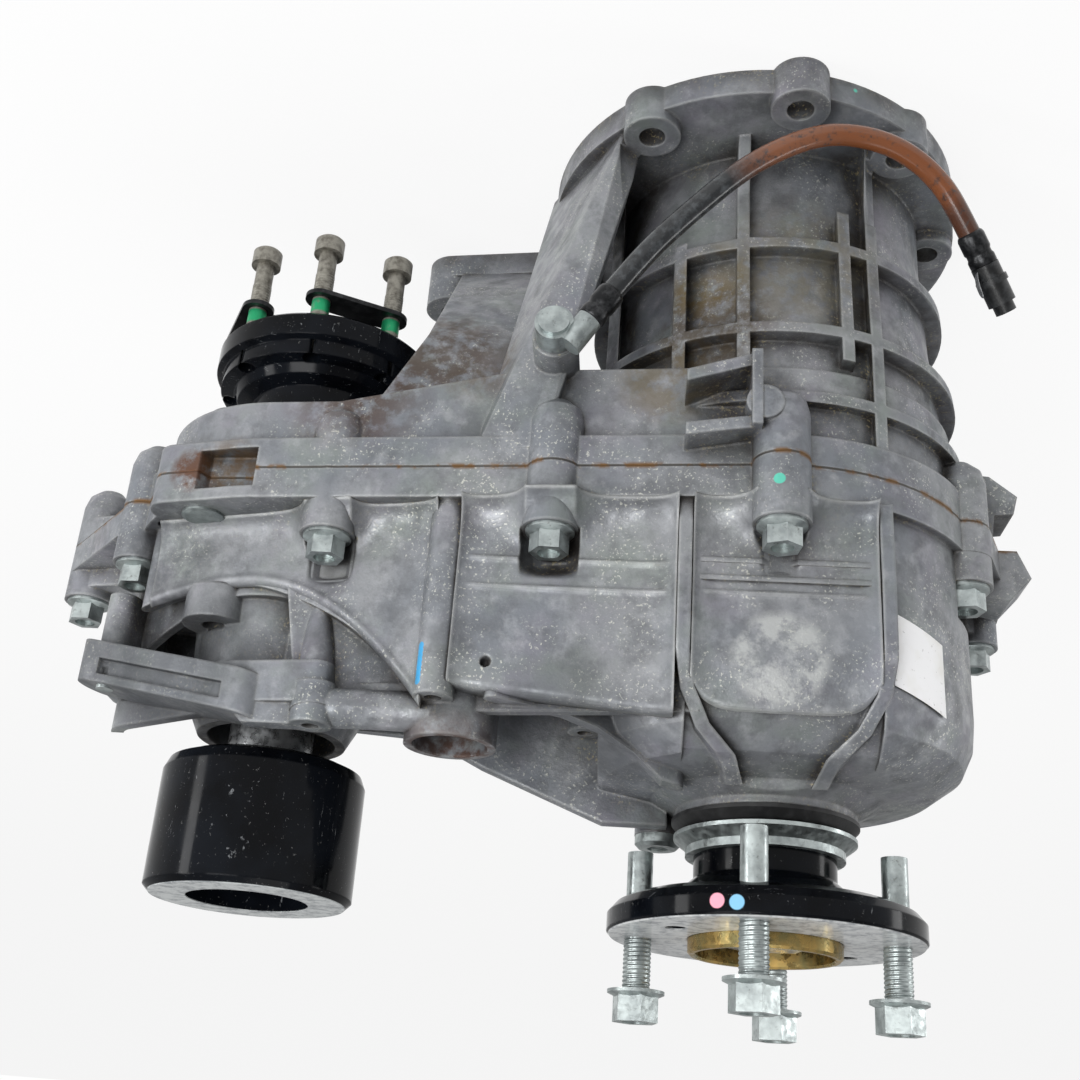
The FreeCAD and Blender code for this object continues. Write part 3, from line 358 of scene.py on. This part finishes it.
# %% Cut the threads
def thread(name, x, y, low, high, radius, pitch, depth):
    """Tube round an upright shank, with its radius plus depth * |2 * f - 1|, where f is what is left of
    z / pitch - t / (2 pi) past the last whole number."""
    z = np.linspace(low, high, max(int((high - low) / pitch * 8), 8))
    t = np.linspace(0, 2 * np.pi, 36, endpoint=False)
    turn = z[:, None] / pitch - t[None, :] / (2 * np.pi)
    ridge = radius + depth * np.abs(2 * (turn - np.floor(turn)) - 1)
    end = np.full((1, len(t)), 0.3)
    ridge = np.vstack([end, ridge, end])
    z = np.concatenate([[low], z, [high]])
    level = np.repeat(z[:, None], len(t), axis=1)
    points = np.stack([x + ridge * np.cos(t), y + ridge * np.sin(t), level], axis=2)
    return grid_piece(name, points[::-1] * MM, close_v=True, cap_ends=True)


flange_circle = 48.5     # radius of the circle that the four flange screws stand on
joint_circle = 42.0      # the same for the three screws of the front joint flange
front_x = 200.0          # front output shaft
threads = []
for index in range(4):
    turn = math.radians(90 * index - 80)
    x, y = flange_circle * math.cos(turn), flange_circle * math.sin(turn)
    threads.append(thread(f"flange_screw_thread_{index + 1}", x, y, 330.4, 348.8, 5.02, 1.6, 0.42))
for index in range(3):
    turn = math.radians(-140 + 45 * index)
    x, y = front_x + joint_circle * math.cos(turn), joint_circle * math.sin(turn)
    threads.append(thread(f"joint_screw_thread_{index + 1}", x, y, 62.0, 72.6, 4.01, 1.3, 0.22))
for piece in threads:
    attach(piece, "rear_output" if "flange" in piece.name else "front_output")
print("threads", len(threads))

# %% [markdown]
# ## A blank sticker
# A plain white vinyl sticker wraps round the side of the rear housing.  It is a small patch of a cylinder
# that stands less than a fifth of a millimetre proud, and one edge sits a little lower than the other.

# %% Stick it on
def wrapped_patch(name, radius, angles, low, high, slant, thick):
    """Front and back of a patch: (radius cos a, radius sin a, z + slant * share across)."""
    a = np.radians(np.linspace(angles[0], angles[1], 24))
    share = np.linspace(0, 1, 24)
    z = np.linspace(low, high, 12)
    sheets = []
    for r in (radius, radius + thick):
        sheets.append(np.stack([r * np.cos(a)[:, None] + 0 * z, r * np.sin(a)[:, None] + 0 * z,
                                z[None, :] + slant * share[:, None]], axis=2))
    edge = np.concatenate([sheets[0], sheets[1][:, ::-1]], axis=1)
    return grid_piece(name, edge[::-1] * MM, close_v=True, cap_ends=True)


sticker = wrapped_patch("blank_white_sticker", 80.62, (-118.6, -137.6), 221.5, 249.5, 6.0, 0.16)
sticker.data.polygons.foreach_set("use_smooth", np.zeros(len(sticker.data.polygons), dtype=bool))
print("sticker", sticker.name)

# %% [markdown]
# ## The hose is a cord
# In the CAD model the hose is a plain closed solid, which the physics needs.  The rubber hose takes its
# place in the render, so that solid is hidden.  The other loose pieces of this side ride on the case with it.

for piece in (vent_hose, near_sleeve, far_sleeve, clip_tab, sticker):
    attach(piece, "case")
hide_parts("vent_hose")

# %% [markdown]
# ## Studio
# The floor is a very pale sheet that carries the shadow, and the room is white.  The lamps are large and
# soft, and their strength is set so that a grey of a given value renders as about that grey.

# %% Colour helper and the node helper
def linear(code):
    """An sRGB hex colour as linear values: below 0.04045 divided by 12.92, above it by the power law."""
    parts = [int(code[i:i + 2], 16) / 255 for i in (1, 3, 5)]
    return tuple(c / 12.92 if c <= 0.04045 else ((c + 0.055) / 1.055) ** 2.4 for c in parts) + (1.0,)


def add(tree, kind, inputs=None, **settings):
    """Adds one node with its settings, and fills its sockets with values or with other nodes' outputs."""
    made = tree.nodes.new(kind)
    for name, value in settings.items():
        setattr(made, name, value)
    for name, value in (inputs or {}).items():
        if isinstance(value, bpy.types.NodeSocket):
            tree.links.new(value, made.inputs[name])
        else:
            made.inputs[name].default_value = value
    return made


def new_tree(name):
    """A material's empty node tree."""
    material = bpy.data.materials.new(name)
    material.use_nodes = True
    material.node_tree.nodes.clear()
    return material, material.node_tree


print("a mid grey is", [round(c, 3) for c in linear("#808080")[:3]])

# %% Floor, room and lamps
paper_white = 0.86       # how much of the paper shows as plain white, the rest of it taking the shadow


def studio_floor():
    """A pale sheet that is mostly white to the camera, so that only the object's shadow shows on it."""
    material, tree = new_tree("pale_studio_paper")
    path = add(tree, "ShaderNodeLightPath").outputs
    sheet = add(tree, "ShaderNodeBsdfDiffuse", {"Color": linear("#f4f4f4")})
    white = add(tree, "ShaderNodeEmission", {"Color": (1, 1, 1, 1), "Strength": 1.0})
    seen = path["Is Camera Ray"]
    for ray in ("Is Glossy Ray", "Is Transmission Ray"):
        seen = add(tree, "ShaderNodeMath", {0: seen, 1: path[ray]}, operation="MAXIMUM").outputs[0]
    share = add(tree, "ShaderNodeMath", {0: seen, 1: paper_white}, operation="MULTIPLY")
    mix = add(tree, "ShaderNodeMixShader", {0: share.outputs[0], 1: sheet.outputs[0], 2: white.outputs[0]})
    add(tree, "ShaderNodeOutputMaterial", {"Surface": mix.outputs[0]})
    ring = np.linspace(0, 2 * np.pi, 64, endpoint=False)
    radii = np.array([0.001, 1.0, 4.0, 14.0])[:, None]
    points = np.stack([radii * np.cos(ring) + 0.1, radii * np.sin(ring), np.full((4, 64), -0.0005)], axis=2)
    floor = grid_piece("studio_floor", points[::-1], close_v=True)
    floor.data.materials.append(material)
    return floor


def lamp(name, place, aim, width, height, power):
    """A soft box at a place, turned to face a point, its height upright."""
    data = bpy.data.lights.new(name, "AREA")
    data.shape = "RECTANGLE"
    data.size = width
    data.size_y = height
    data.energy = power
    made = bpy.data.objects.new(name, data)
    bpy.context.scene.collection.objects.link(made)
    away = (Vector(place) - Vector(aim)).normalized()
    made.matrix_world = Matrix.Translation(place) @ away.to_track_quat("Z", "Y").to_matrix().to_4x4()
    return made


def white_room(fill):
    """A world that is white to the camera and lights the object with a fill strength."""
    world = bpy.data.worlds.new("white_room")
    bpy.context.scene.world = world
    world.use_nodes = True
    tree = world.node_tree
    tree.nodes.clear()
    path = add(tree, "ShaderNodeLightPath").outputs
    dim = add(tree, "ShaderNodeBackground", {"Color": (1, 1, 1, 1), "Strength": fill})
    white = add(tree, "ShaderNodeBackground", {"Color": (1, 1, 1, 1), "Strength": 1.0})
    mix = add(tree, "ShaderNodeMixShader", {0: path["Is Camera Ray"], 1: dim.outputs[0], 2: white.outputs[0]})
    add(tree, "ShaderNodeOutputWorld", {"Surface": mix.outputs[0]})


studio_floor()
white_room(0.38)
middle = (0.1, 0.0, 0.17)
lamp("key_lamp", (0.55, -1.15, 0.75), middle, 0.7, 0.7, 12)
lamp("left_strip", (1.15, -0.55, 0.30), middle, 0.24, 1.3, 7)
lamp("right_strip", (-1.05, 0.10, 0.30), middle, 0.20, 1.3, 4)
lamp("top_lamp", (0.1, 0.2, 1.5), middle, 0.9, 0.9, 4)
bpy.context.scene.view_settings.view_transform = "Standard"

# %% [markdown]
# ## Patterns that every finish uses
# A finish is built up as it is on the bench: a ground colour, then coats that show only in places.  The
# places are masks, numbers from 0 to 1 over the surface.  A mask comes from noise of a real size, from
# the distance to a point, or from the height, and a coat is laid where the product of its masks is high.

# %% Masks and coats
def noise(tree, place, size_mm, detail=4.0, rough=0.55, low=0.4, high=0.6):
    """Noise whose blobs are about size_mm wide, stretched so that low becomes 0 and high becomes 1."""
    grain = add(tree, "ShaderNodeTexNoise",
                {"Vector": place, "Scale": 1.0 / (size_mm * MM), "Detail": detail, "Roughness": rough})
    stretch = {"Value": grain.outputs["Fac"], "From Min": low, "From Max": high}
    return add(tree, "ShaderNodeMapRange", stretch).outputs[0]


def wandering(tree, place, size_mm, detail, least, most):
    """A roughness that wanders between two values over patches of a size."""
    stretch = {"Value": noise(tree, place, size_mm, detail), "To Min": least, "To Max": most}
    return add(tree, "ShaderNodeMapRange", stretch).outputs[0]


def past_height(tree, place, start_mm, end_mm):
    """Mask that goes from 0 at one height to 1 at another, which may be the lower one."""
    level = add(tree, "ShaderNodeSeparateXYZ", {0: place}).outputs[2]
    stretch = {"Value": level, "From Min": start_mm * MM, "From Max": end_mm * MM}
    return add(tree, "ShaderNodeMapRange", stretch).outputs[0]


def spot(tree, place, centre_mm, radius_mm, soft_mm):
    """Mask that is 1 within a radius of a point and falls to 0 over a soft edge."""
    centre = tuple(c * MM for c in centre_mm)
    gap = add(tree, "ShaderNodeVectorMath", {0: place, 1: centre}, operation="DISTANCE").outputs["Value"]
    stretch = {"Value": gap, "From Min": (radius_mm + soft_mm) * MM, "From Max": radius_mm * MM}
    return add(tree, "ShaderNodeMapRange", stretch).outputs[0]


def coat(tree, under, over, *masks):
    """A colour laid over another where the product of the masks is high.  Each colour is a hex code or
    what other nodes made."""
    share = masks[0]
    for mask in masks[1:]:
        share = add(tree, "ShaderNodeMath", {0: share, 1: mask}, operation="MULTIPLY").outputs[0]
    under, over = (linear(colour) if isinstance(colour, str) else colour for colour in (under, over))
    return add(tree, "ShaderNodeMix", {0: share, 6: under, 7: over}, data_type="RGBA").outputs[2]


def fine_skin(tree, place, size_mm, strength):
    """Bump of a fine grain, 0.15 mm deep."""
    grain = add(tree, "ShaderNodeTexNoise", {"Vector": place, "Scale": 1 / (size_mm * MM), "Detail": 3.0})
    settings = {"Height": grain.outputs["Fac"], "Strength": strength, "Distance": 0.15 * MM}
    return add(tree, "ShaderNodeBump", settings).outputs[0]


def surface(tree, inputs):
    """The finish's principled shader and its output."""
    shader = add(tree, "ShaderNodeBsdfPrincipled", inputs)
    add(tree, "ShaderNodeOutputMaterial", {"Surface": shader.outputs[0]})


print("pattern helpers ready")

# %% [markdown]
# ## Edges that aren't razor sharp
# A cast or painted edge is rounded and catches the light.  The Bevel node bends the normal round an edge
# without touching the mesh.  Where that bent normal differs from the flat one, there is an edge, and that
# difference is the mask for a lighter grey that is painted highlight and rubbed metal together.

# %% Soft edges
def edge_highlight_and_wear(tree, reach_mm):
    """Mask of where the surface turns within a reach, which carries a painted edge highlight and wear."""
    flat = add(tree, "ShaderNodeNewGeometry").outputs["True Normal"]
    bent = add(tree, "ShaderNodeBevel", {"Radius": reach_mm * MM}, samples=4).outputs[0]
    likeness = add(tree, "ShaderNodeVectorMath", {0: bent, 1: flat}, operation="DOT_PRODUCT").outputs["Value"]
    stretch = {"Value": likeness, "From Min": 0.985, "From Max": 0.86}
    return add(tree, "ShaderNodeMapRange", stretch).outputs[0]


print("edge helper ready")

# %% [markdown]
# ## Cast aluminium
# The case is die-cast aluminium that has been used: a matt, slightly metallic grey with cooler and warmer
# patches, brown dirt in the pockets, white bloom and a rusty line of old sealant along the joint.  A flat
# grey would look like plastic, so patches from 60 down to 5 mm wide are laid over each other, with
# speckle of about a millimetre, painted shade as well as dirt where the surface is enclosed, and a painted
# highlight along the edges.  All of them read the object's own coordinates, so the two halves match across
# the joint.

# %% Weathered die-cast aluminium
joint_z = 170.0          # plane where the halves meet


def cast_aluminium(name, spots):
    """Mottled grey casting skin with painted shade, grime and dust in its pockets, a painted highlight with
    wear on its edges, a rusty joint line and coloured spots.
    """
    material, tree = new_tree(name)
    place = add(tree, "ShaderNodeTexCoord").outputs["Object"]
    shifted = add(tree, "ShaderNodeMapping", {"Vector": place, "Location": (0.31, 0.17, 0.53)}).outputs[0]
    waves = add(tree, "ShaderNodeTexNoise", {"Vector": place, "Scale": 1 / (14 * MM), "Detail": 2.0})
    skin = add(tree, "ShaderNodeTexNoise", {"Vector": place, "Scale": 1 / (1.1 * MM), "Detail": 3.0})
    height = add(tree, "ShaderNodeMath", {0: waves.outputs["Fac"], 1: 3.0, 2: skin.outputs["Fac"]},
                 operation="MULTIPLY_ADD")
    bent = add(tree, "ShaderNodeBevel", {"Radius": 1.5 * MM}, samples=4)
    normal = add(tree, "ShaderNodeBump", {"Height": height.outputs[0], "Strength": 0.35, "Distance": 0.4 * MM,
                                          "Normal": bent.outputs[0]})

    colour = coat(tree, "#767a80", "#8b8d90", noise(tree, place, 60, 3))
    for where, size, detail, rough, low, high, share, code in (
            (place, 34, 4, 0.6, 0.5, 0.7, 0.6, "#827e89"), (shifted, 28, 4, 0.6, 0.5, 0.7, 0.5, "#7d877e"),
            (shifted, 16, 5, 0.65, 0.48, 0.66, 0.58, "#55575a"),
            (place, 9, 5, 0.65, 0.52, 0.68, 0.38, "#abadb0"),
            (place, 5, 5, 0.7, 0.52, 0.68, 0.35, "#63666b")):
        colour = coat(tree, colour, code, noise(tree, where, size, detail, rough, low, high), share)
    grit = noise(tree, place, 1.1, 2, 0.6, 0.60, 0.68)
    colour = coat(tree, colour, "#d0d0c6", grit, noise(tree, shifted, 24, 3, 0.5, 0.46, 0.58), 0.7)
    # Lighter grey along the edges: a painted highlight, together with rubbed metal.
    colour = coat(tree, colour, "#bcbdbb", edge_highlight_and_wear(tree, 2.2), 0.42)

    # Ambient occlusion darkens the hollows.  The dark grey coat is painted shade, the brown coat over it is
    # dirt, and the pale coat is dust that settles in the same hollows.
    hollow = add(tree, "ShaderNodeAmbientOcclusion", {"Distance": 22 * MM}, samples=6)
    shade = {"Value": hollow.outputs["AO"], "From Min": 0.82, "From Max": 0.30}
    hollow_shade_and_dirt = add(tree, "ShaderNodeMapRange", shade).outputs[0]
    colour = coat(tree, colour, "#393a3c", hollow_shade_and_dirt, 0.72)
    colour = coat(tree, colour, "#352f2a", hollow_shade_and_dirt, noise(tree, place, 12, 4, 0.6, 0.40, 0.58), 0.85)
    dust = noise(tree, place, 1.4, 3, 0.6, 0.57, 0.66)
    colour = coat(tree, colour, "#a79a76", hollow_shade_and_dirt, dust, noise(tree, shifted, 30, 3, 0.5, 0.48, 0.58), 0.8)

    level = add(tree, "ShaderNodeSeparateXYZ", {0: place}).outputs[2]
    off = add(tree, "ShaderNodeMath", {0: level, 1: joint_z * MM}, operation="SUBTRACT").outputs[0]
    off = add(tree, "ShaderNodeMath", {0: off}, operation="ABSOLUTE").outputs[0]
    seam = add(tree, "ShaderNodeMapRange", {"Value": off, "From Min": 0.7 * MM, "From Max": 0.35 * MM})
    seep = add(tree, "ShaderNodeMapRange", {"Value": off, "From Min": 1.7 * MM, "From Max": 0.5 * MM})
    colour = coat(tree, colour, "#3f3a34", seam.outputs[0], 0.85)
    colour = coat(tree, colour, "#6b4c26", seep.outputs[0], noise(tree, place, 11, 4, 0.65, 0.46, 0.56), 0.9)
    for centre, radius, soft, code, strength, patchy in spots:
        masks = [spot(tree, place, centre, radius, soft)]
        if patchy:
            masks.append(noise(tree, place, 7, 4, 0.65, 0.38, 0.56))
        colour = coat(tree, colour, code, *masks, strength)
    surface(tree, {"Base Color": colour, "Metallic": 0.45, "Normal": normal.outputs[0],
                   "Roughness": wandering(tree, place, 8, 4, 0.38, 0.62)})
    return material


# Rust, stains, paint marks and patches of painted shade: centre, radius, soft edge (mm), colour, strength,
# patchy.
case_spots = [
    ((232, -60, 169), 7, 4, "#5b3a26", 0.9, True), ((216, -55, 166), 9, 6, "#5c4526", 0.7, True),
    ((167, -45, 135), 20, 18, "#48352a", 0.8, True), ((142, -40, 95), 18, 20, "#4a3a2c", 0.75, True),
    ((121, -42, 272), 15, 5, "#4f3222", 0.85, True), ((30, -74, 100), 18, 14, "#4e4334", 0.8, True),
    ((33, -80, 80), 12, 10, "#74602f", 0.7, True), ((-10, -84, 70), 22, 20, "#77705c", 0.5, True),
    ((45, -80, 128), 14, 10, "#6d6148", 0.6, True), ((120, -55, 120), 14, 10, "#5a4a38", 0.6, True),
    # The plain dark grey patches (#44464a to #4a4c50) darken the window, the inside behind the free edges and
    # the foot of the hood: painted shade with some dirt.
    ((2, -76, 243), 15, 4, "#b4b6b5", 0.8, True), ((226, -34, 250), 26, 16, "#45484c", 0.6, False),
    ((262, -30, 247), 14, 12, "#45484c", 0.55, False), ((78, -42, 262), 24, 14, "#4a4c4f", 0.6, False),
    ((150, -38, 262), 18, 12, "#44464a", 0.55, True), ((246, -42, 196), 18, 12, "#4a4c50", 0.5, True),
    ((4, -94.9, 181.5), 2.0, 0.3, "#5fc4ae", 0.95, False),
    ((8.5, -80, 138.5), 3.2, 0.4, "#c9d6dc", 0.8, False),
    ((-28, -100.5, 3.5), 1.9, 0.3, "#5fc4ae", 0.95, False)]
# A short blue stroke is a row of eight dots that run together.
case_spots += [((131.8, -68.4, 242 + 1.9 * i), 1.5, 0.3, "#3fa3d8", 0.9, False) for i in range(8)]
casting = cast_aluminium("weathered_aluminium_with_painted_shade_and_highlight", case_spots)
for piece in (skirt_skin, panel_skin, hood_skin):
    piece.data.materials.append(casting)
print("casting spots", len(case_spots))

# %% [markdown]
# ## Zinc plate, bare steel and yellow passivated zinc
# Bolts and plugs are steel with a thin bright coat.  They are metals, so their colour is the colour of the
# reflection, and fine grime and a roughness that wanders keep them from looking new.

# %% Plated and bare metals
def plated(name, base, dark, rough_low, rough_high):
    """A metal whose colour and roughness wander between two values."""
    material, tree = new_tree(name)
    place = add(tree, "ShaderNodeTexCoord").outputs["Object"]
    colour = coat(tree, base, dark, noise(tree, place, 7, 4, 0.6, 0.42, 0.66))
    colour = coat(tree, colour, "#4c4a45", noise(tree, place, 2.5, 4, 0.7, 0.58, 0.72), 0.6)
    surface(tree, {"Base Color": colour, "Metallic": 0.9, "Normal": fine_skin(tree, place, 0.9, 0.15),
                   "Roughness": wandering(tree, place, 3, 3, rough_low, rough_high)})
    return material


zinc = plated("zinc_plated_steel", "#b7bfbe", "#939a9a", 0.28, 0.5)
bare_steel = plated("machined_steel", "#a9abad", "#7f8183", 0.25, 0.45)
passivated = plated("yellow_passivated_zinc", "#b5975a", "#8f8458", 0.2, 0.42)
print("metals", zinc.name, bare_steel.name, passivated.name)

# %% [markdown]
# ## Gloss black paint
# The two flanges and the damper are painted black.  Thick gloss paint mirrors the room, so its
# roughness is low, and its few scratches show the grey steel.

# %% Paint with scratches
def gloss_black(name, marks=(), worn=None, bare_codes=()):
    """Black paint with fine scratches, coloured marks and, where asked, bare metal past a height."""
    material, tree = new_tree(name)
    place = add(tree, "ShaderNodeTexCoord").outputs["Object"]
    turned = add(tree, "ShaderNodeMapping",
                 {"Vector": place, "Rotation": (0.3, 0.5, 0.2), "Scale": (1.0, 9.0, 1.0)}).outputs[0]
    colour = coat(tree, "#06070a", "#0e1116", noise(tree, place, 30, 3))
    colour = coat(tree, colour, "#8d9093", noise(tree, turned, 9, 6, 0.75, 0.640, 0.665), 0.5)
    colour = coat(tree, colour, "#9a9a98", noise(tree, place, 1.5, 3, 0.7, 0.66, 0.74), 0.35)
    if worn:
        bare = coat(tree, *bare_codes, noise(tree, place, 5, 5, 0.7, 0.45, 0.62))
        colour = coat(tree, colour, bare, past_height(tree, place, worn, worn + 0.25), 0.9)
    for centre, radius, code in marks:
        colour = coat(tree, colour, code, spot(tree, place, centre, radius, 0.4))
    bent = add(tree, "ShaderNodeBevel", {"Radius": 0.9 * MM}, samples=4)
    surface(tree, {"Base Color": colour, "IOR": 1.2, "Normal": bent.outputs[0],
                   "Roughness": wandering(tree, place, 14, 3, 0.07, 0.15)})
    return material


flange_marks = [((21.8, -55.9, 325), 2.4, "#f0a3b4"), ((15.2, -58.0, 325.5), 2.4, "#86bede")]
flange_paint = gloss_black("gloss_black_flange_paint", flange_marks, 329.4, ("#c9cbcb", "#94979a"))
cv_paint = gloss_black("gloss_black_joint_paint")
damper_paint = gloss_black("gloss_black_damper_paint", (), 325.6, ("#c6caca", "#8f9396"))
print("paints", flange_paint.name, cv_paint.name, damper_paint.name)

# %% [markdown]
# ## Screws with thread locker
# The three socket screws of the joint flange carry a band of green thread locker on the thread.  The
# band is a range of heights, broken up by noise, in the screw's own metal.

# %% Locked screws
def locked_screws():
    """Bare steel with a green band between two heights."""
    material, tree = new_tree("steel_with_green_thread_locker")
    place = add(tree, "ShaderNodeTexCoord").outputs["Object"]
    colour = coat(tree, "#8d8a81", "#57534b", noise(tree, place, 3, 4, 0.6, 0.4, 0.7))
    colour = coat(tree, colour, "#1f9a66", past_height(tree, place, 75.5, 76.2),
                  past_height(tree, place, 82.6, 81.6), noise(tree, place, 4, 2, 0.5, 0.2, 0.4))
    surface(tree, {"Base Color": colour, "Metallic": 0.5, "Roughness": 0.4})
    return material


screw_steel = locked_screws()
print("screws", screw_steel.name)

# %% [markdown]
# ## Rubber, moulded plastic and black steel
# Rubber, plastic and oxide-blacked steel are all dark, and what tells them apart is how broad their
# highlight is and how their scuffs look.  The hose is black rubber that a brown dust has settled on.

# %% Dark finishes
def dark_finish(name, base, light, rough, patch_mm=6, metal=0.0, spots=()):
    """A dark material with lighter scuffs and, where asked, stained stretches."""
    material, tree = new_tree(name)
    place = add(tree, "ShaderNodeTexCoord").outputs["Object"]
    colour = coat(tree, base, light, noise(tree, place, patch_mm, 5, 0.65, 0.46, 0.68), 0.7)
    for centre, radius, soft, code, strength in spots:
        stain = spot(tree, place, centre, radius, soft)
        colour = coat(tree, colour, code, stain, noise(tree, place, 3.5, 5, 0.7, 0.30, 0.48), strength)
    surface(tree, {"Base Color": colour, "Metallic": metal, "Roughness": rough,
                   "Normal": fine_skin(tree, place, 1.0, 0.2)})
    return material


strap_steel = dark_finish("black_oxide_steel", "#131416", "#3a3b3d", 0.35, 4, 0.6)
seal_rubber = dark_finish("seal_rubber", "#0f0f10", "#2a2a2b", 0.5, 5)
moulded_plastic = dark_finish("black_moulded_plastic", "#101112", "#3d3f41", 0.3, 5)
hose_stains = [((-14, -107, 27), 28, 22, "#7a4c33", 0.95), ((-48, -98, 36), 28, 14, "#754427", 1.0),
               ((-76, -80, 62), 14, 8, "#4a2c1e", 1.0)]
hose_rubber = dark_finish("dusty_hose_rubber", "#232527", "#4f5356", 0.22, 4, 0.0, hose_stains)
crimp_steel = dark_finish("black_crimp_steel", "#17181a", "#4a4b4d", 0.3, 4, 0.6)
for piece, finish in ((vent_hose, hose_rubber), (near_sleeve, crimp_steel), (far_sleeve, crimp_steel),
                      (clip_tab, bare_steel)):
    piece.data.materials.append(finish)
for piece in threads:
    piece.data.materials.append(zinc if "flange" in piece.name else screw_steel)
print("dark finishes ready")

# %% [markdown]
# ## White vinyl
# The sticker is film with nothing on it: an even white with a faint yellowing and small dirty specks,
# smoother than the casting round it.

# %% Vinyl for the sticker
def vinyl():
    """Off-white film with faint yellowing and specks."""
    material, tree = new_tree("white_vinyl_film")
    place = add(tree, "ShaderNodeTexCoord").outputs["Object"]
    colour = coat(tree, "#f4f4f5", "#e8e7e3", noise(tree, place, 18, 3))
    colour = coat(tree, colour, "#7d7a74", noise(tree, place, 1.6, 3, 0.6, 0.66, 0.72), 0.5)
    surface(tree, {"Base Color": colour, "Roughness": 0.38})
    return material


sticker.data.materials.append(vinyl())
print("sticker finish ready")

# %% [markdown]
# ## Dress the CAD nodes
# A CAD node keeps its shape and only gets a finish.  The table below says which.

# %% Hand out the finishes
finishes = {
    "front_case": casting, "rear_case": casting, "case_bolts": zinc, "flange_bolts": zinc, "fill_plug": zinc,
    "core_plug": zinc, "arm_pin": zinc, "vent_fitting": zinc, "dust_deflector": zinc, "cv_flange": cv_paint,
    "rear_flange": flange_paint, "damper": damper_paint, "pilot_ring": passivated, "cv_bolts": screw_steel,
    "cv_straps": strap_steel, "rear_seal": seal_rubber, "hose_connector": moulded_plastic,
}
for name, obj in nodes.items():
    finish = finishes.get(name, bare_steel)
    if obj.data.materials:
        for index in range(len(obj.data.materials)):
            obj.data.materials[index] = finish
    else:
        obj.data.materials.append(finish)
print("dressed", len(nodes), "nodes")
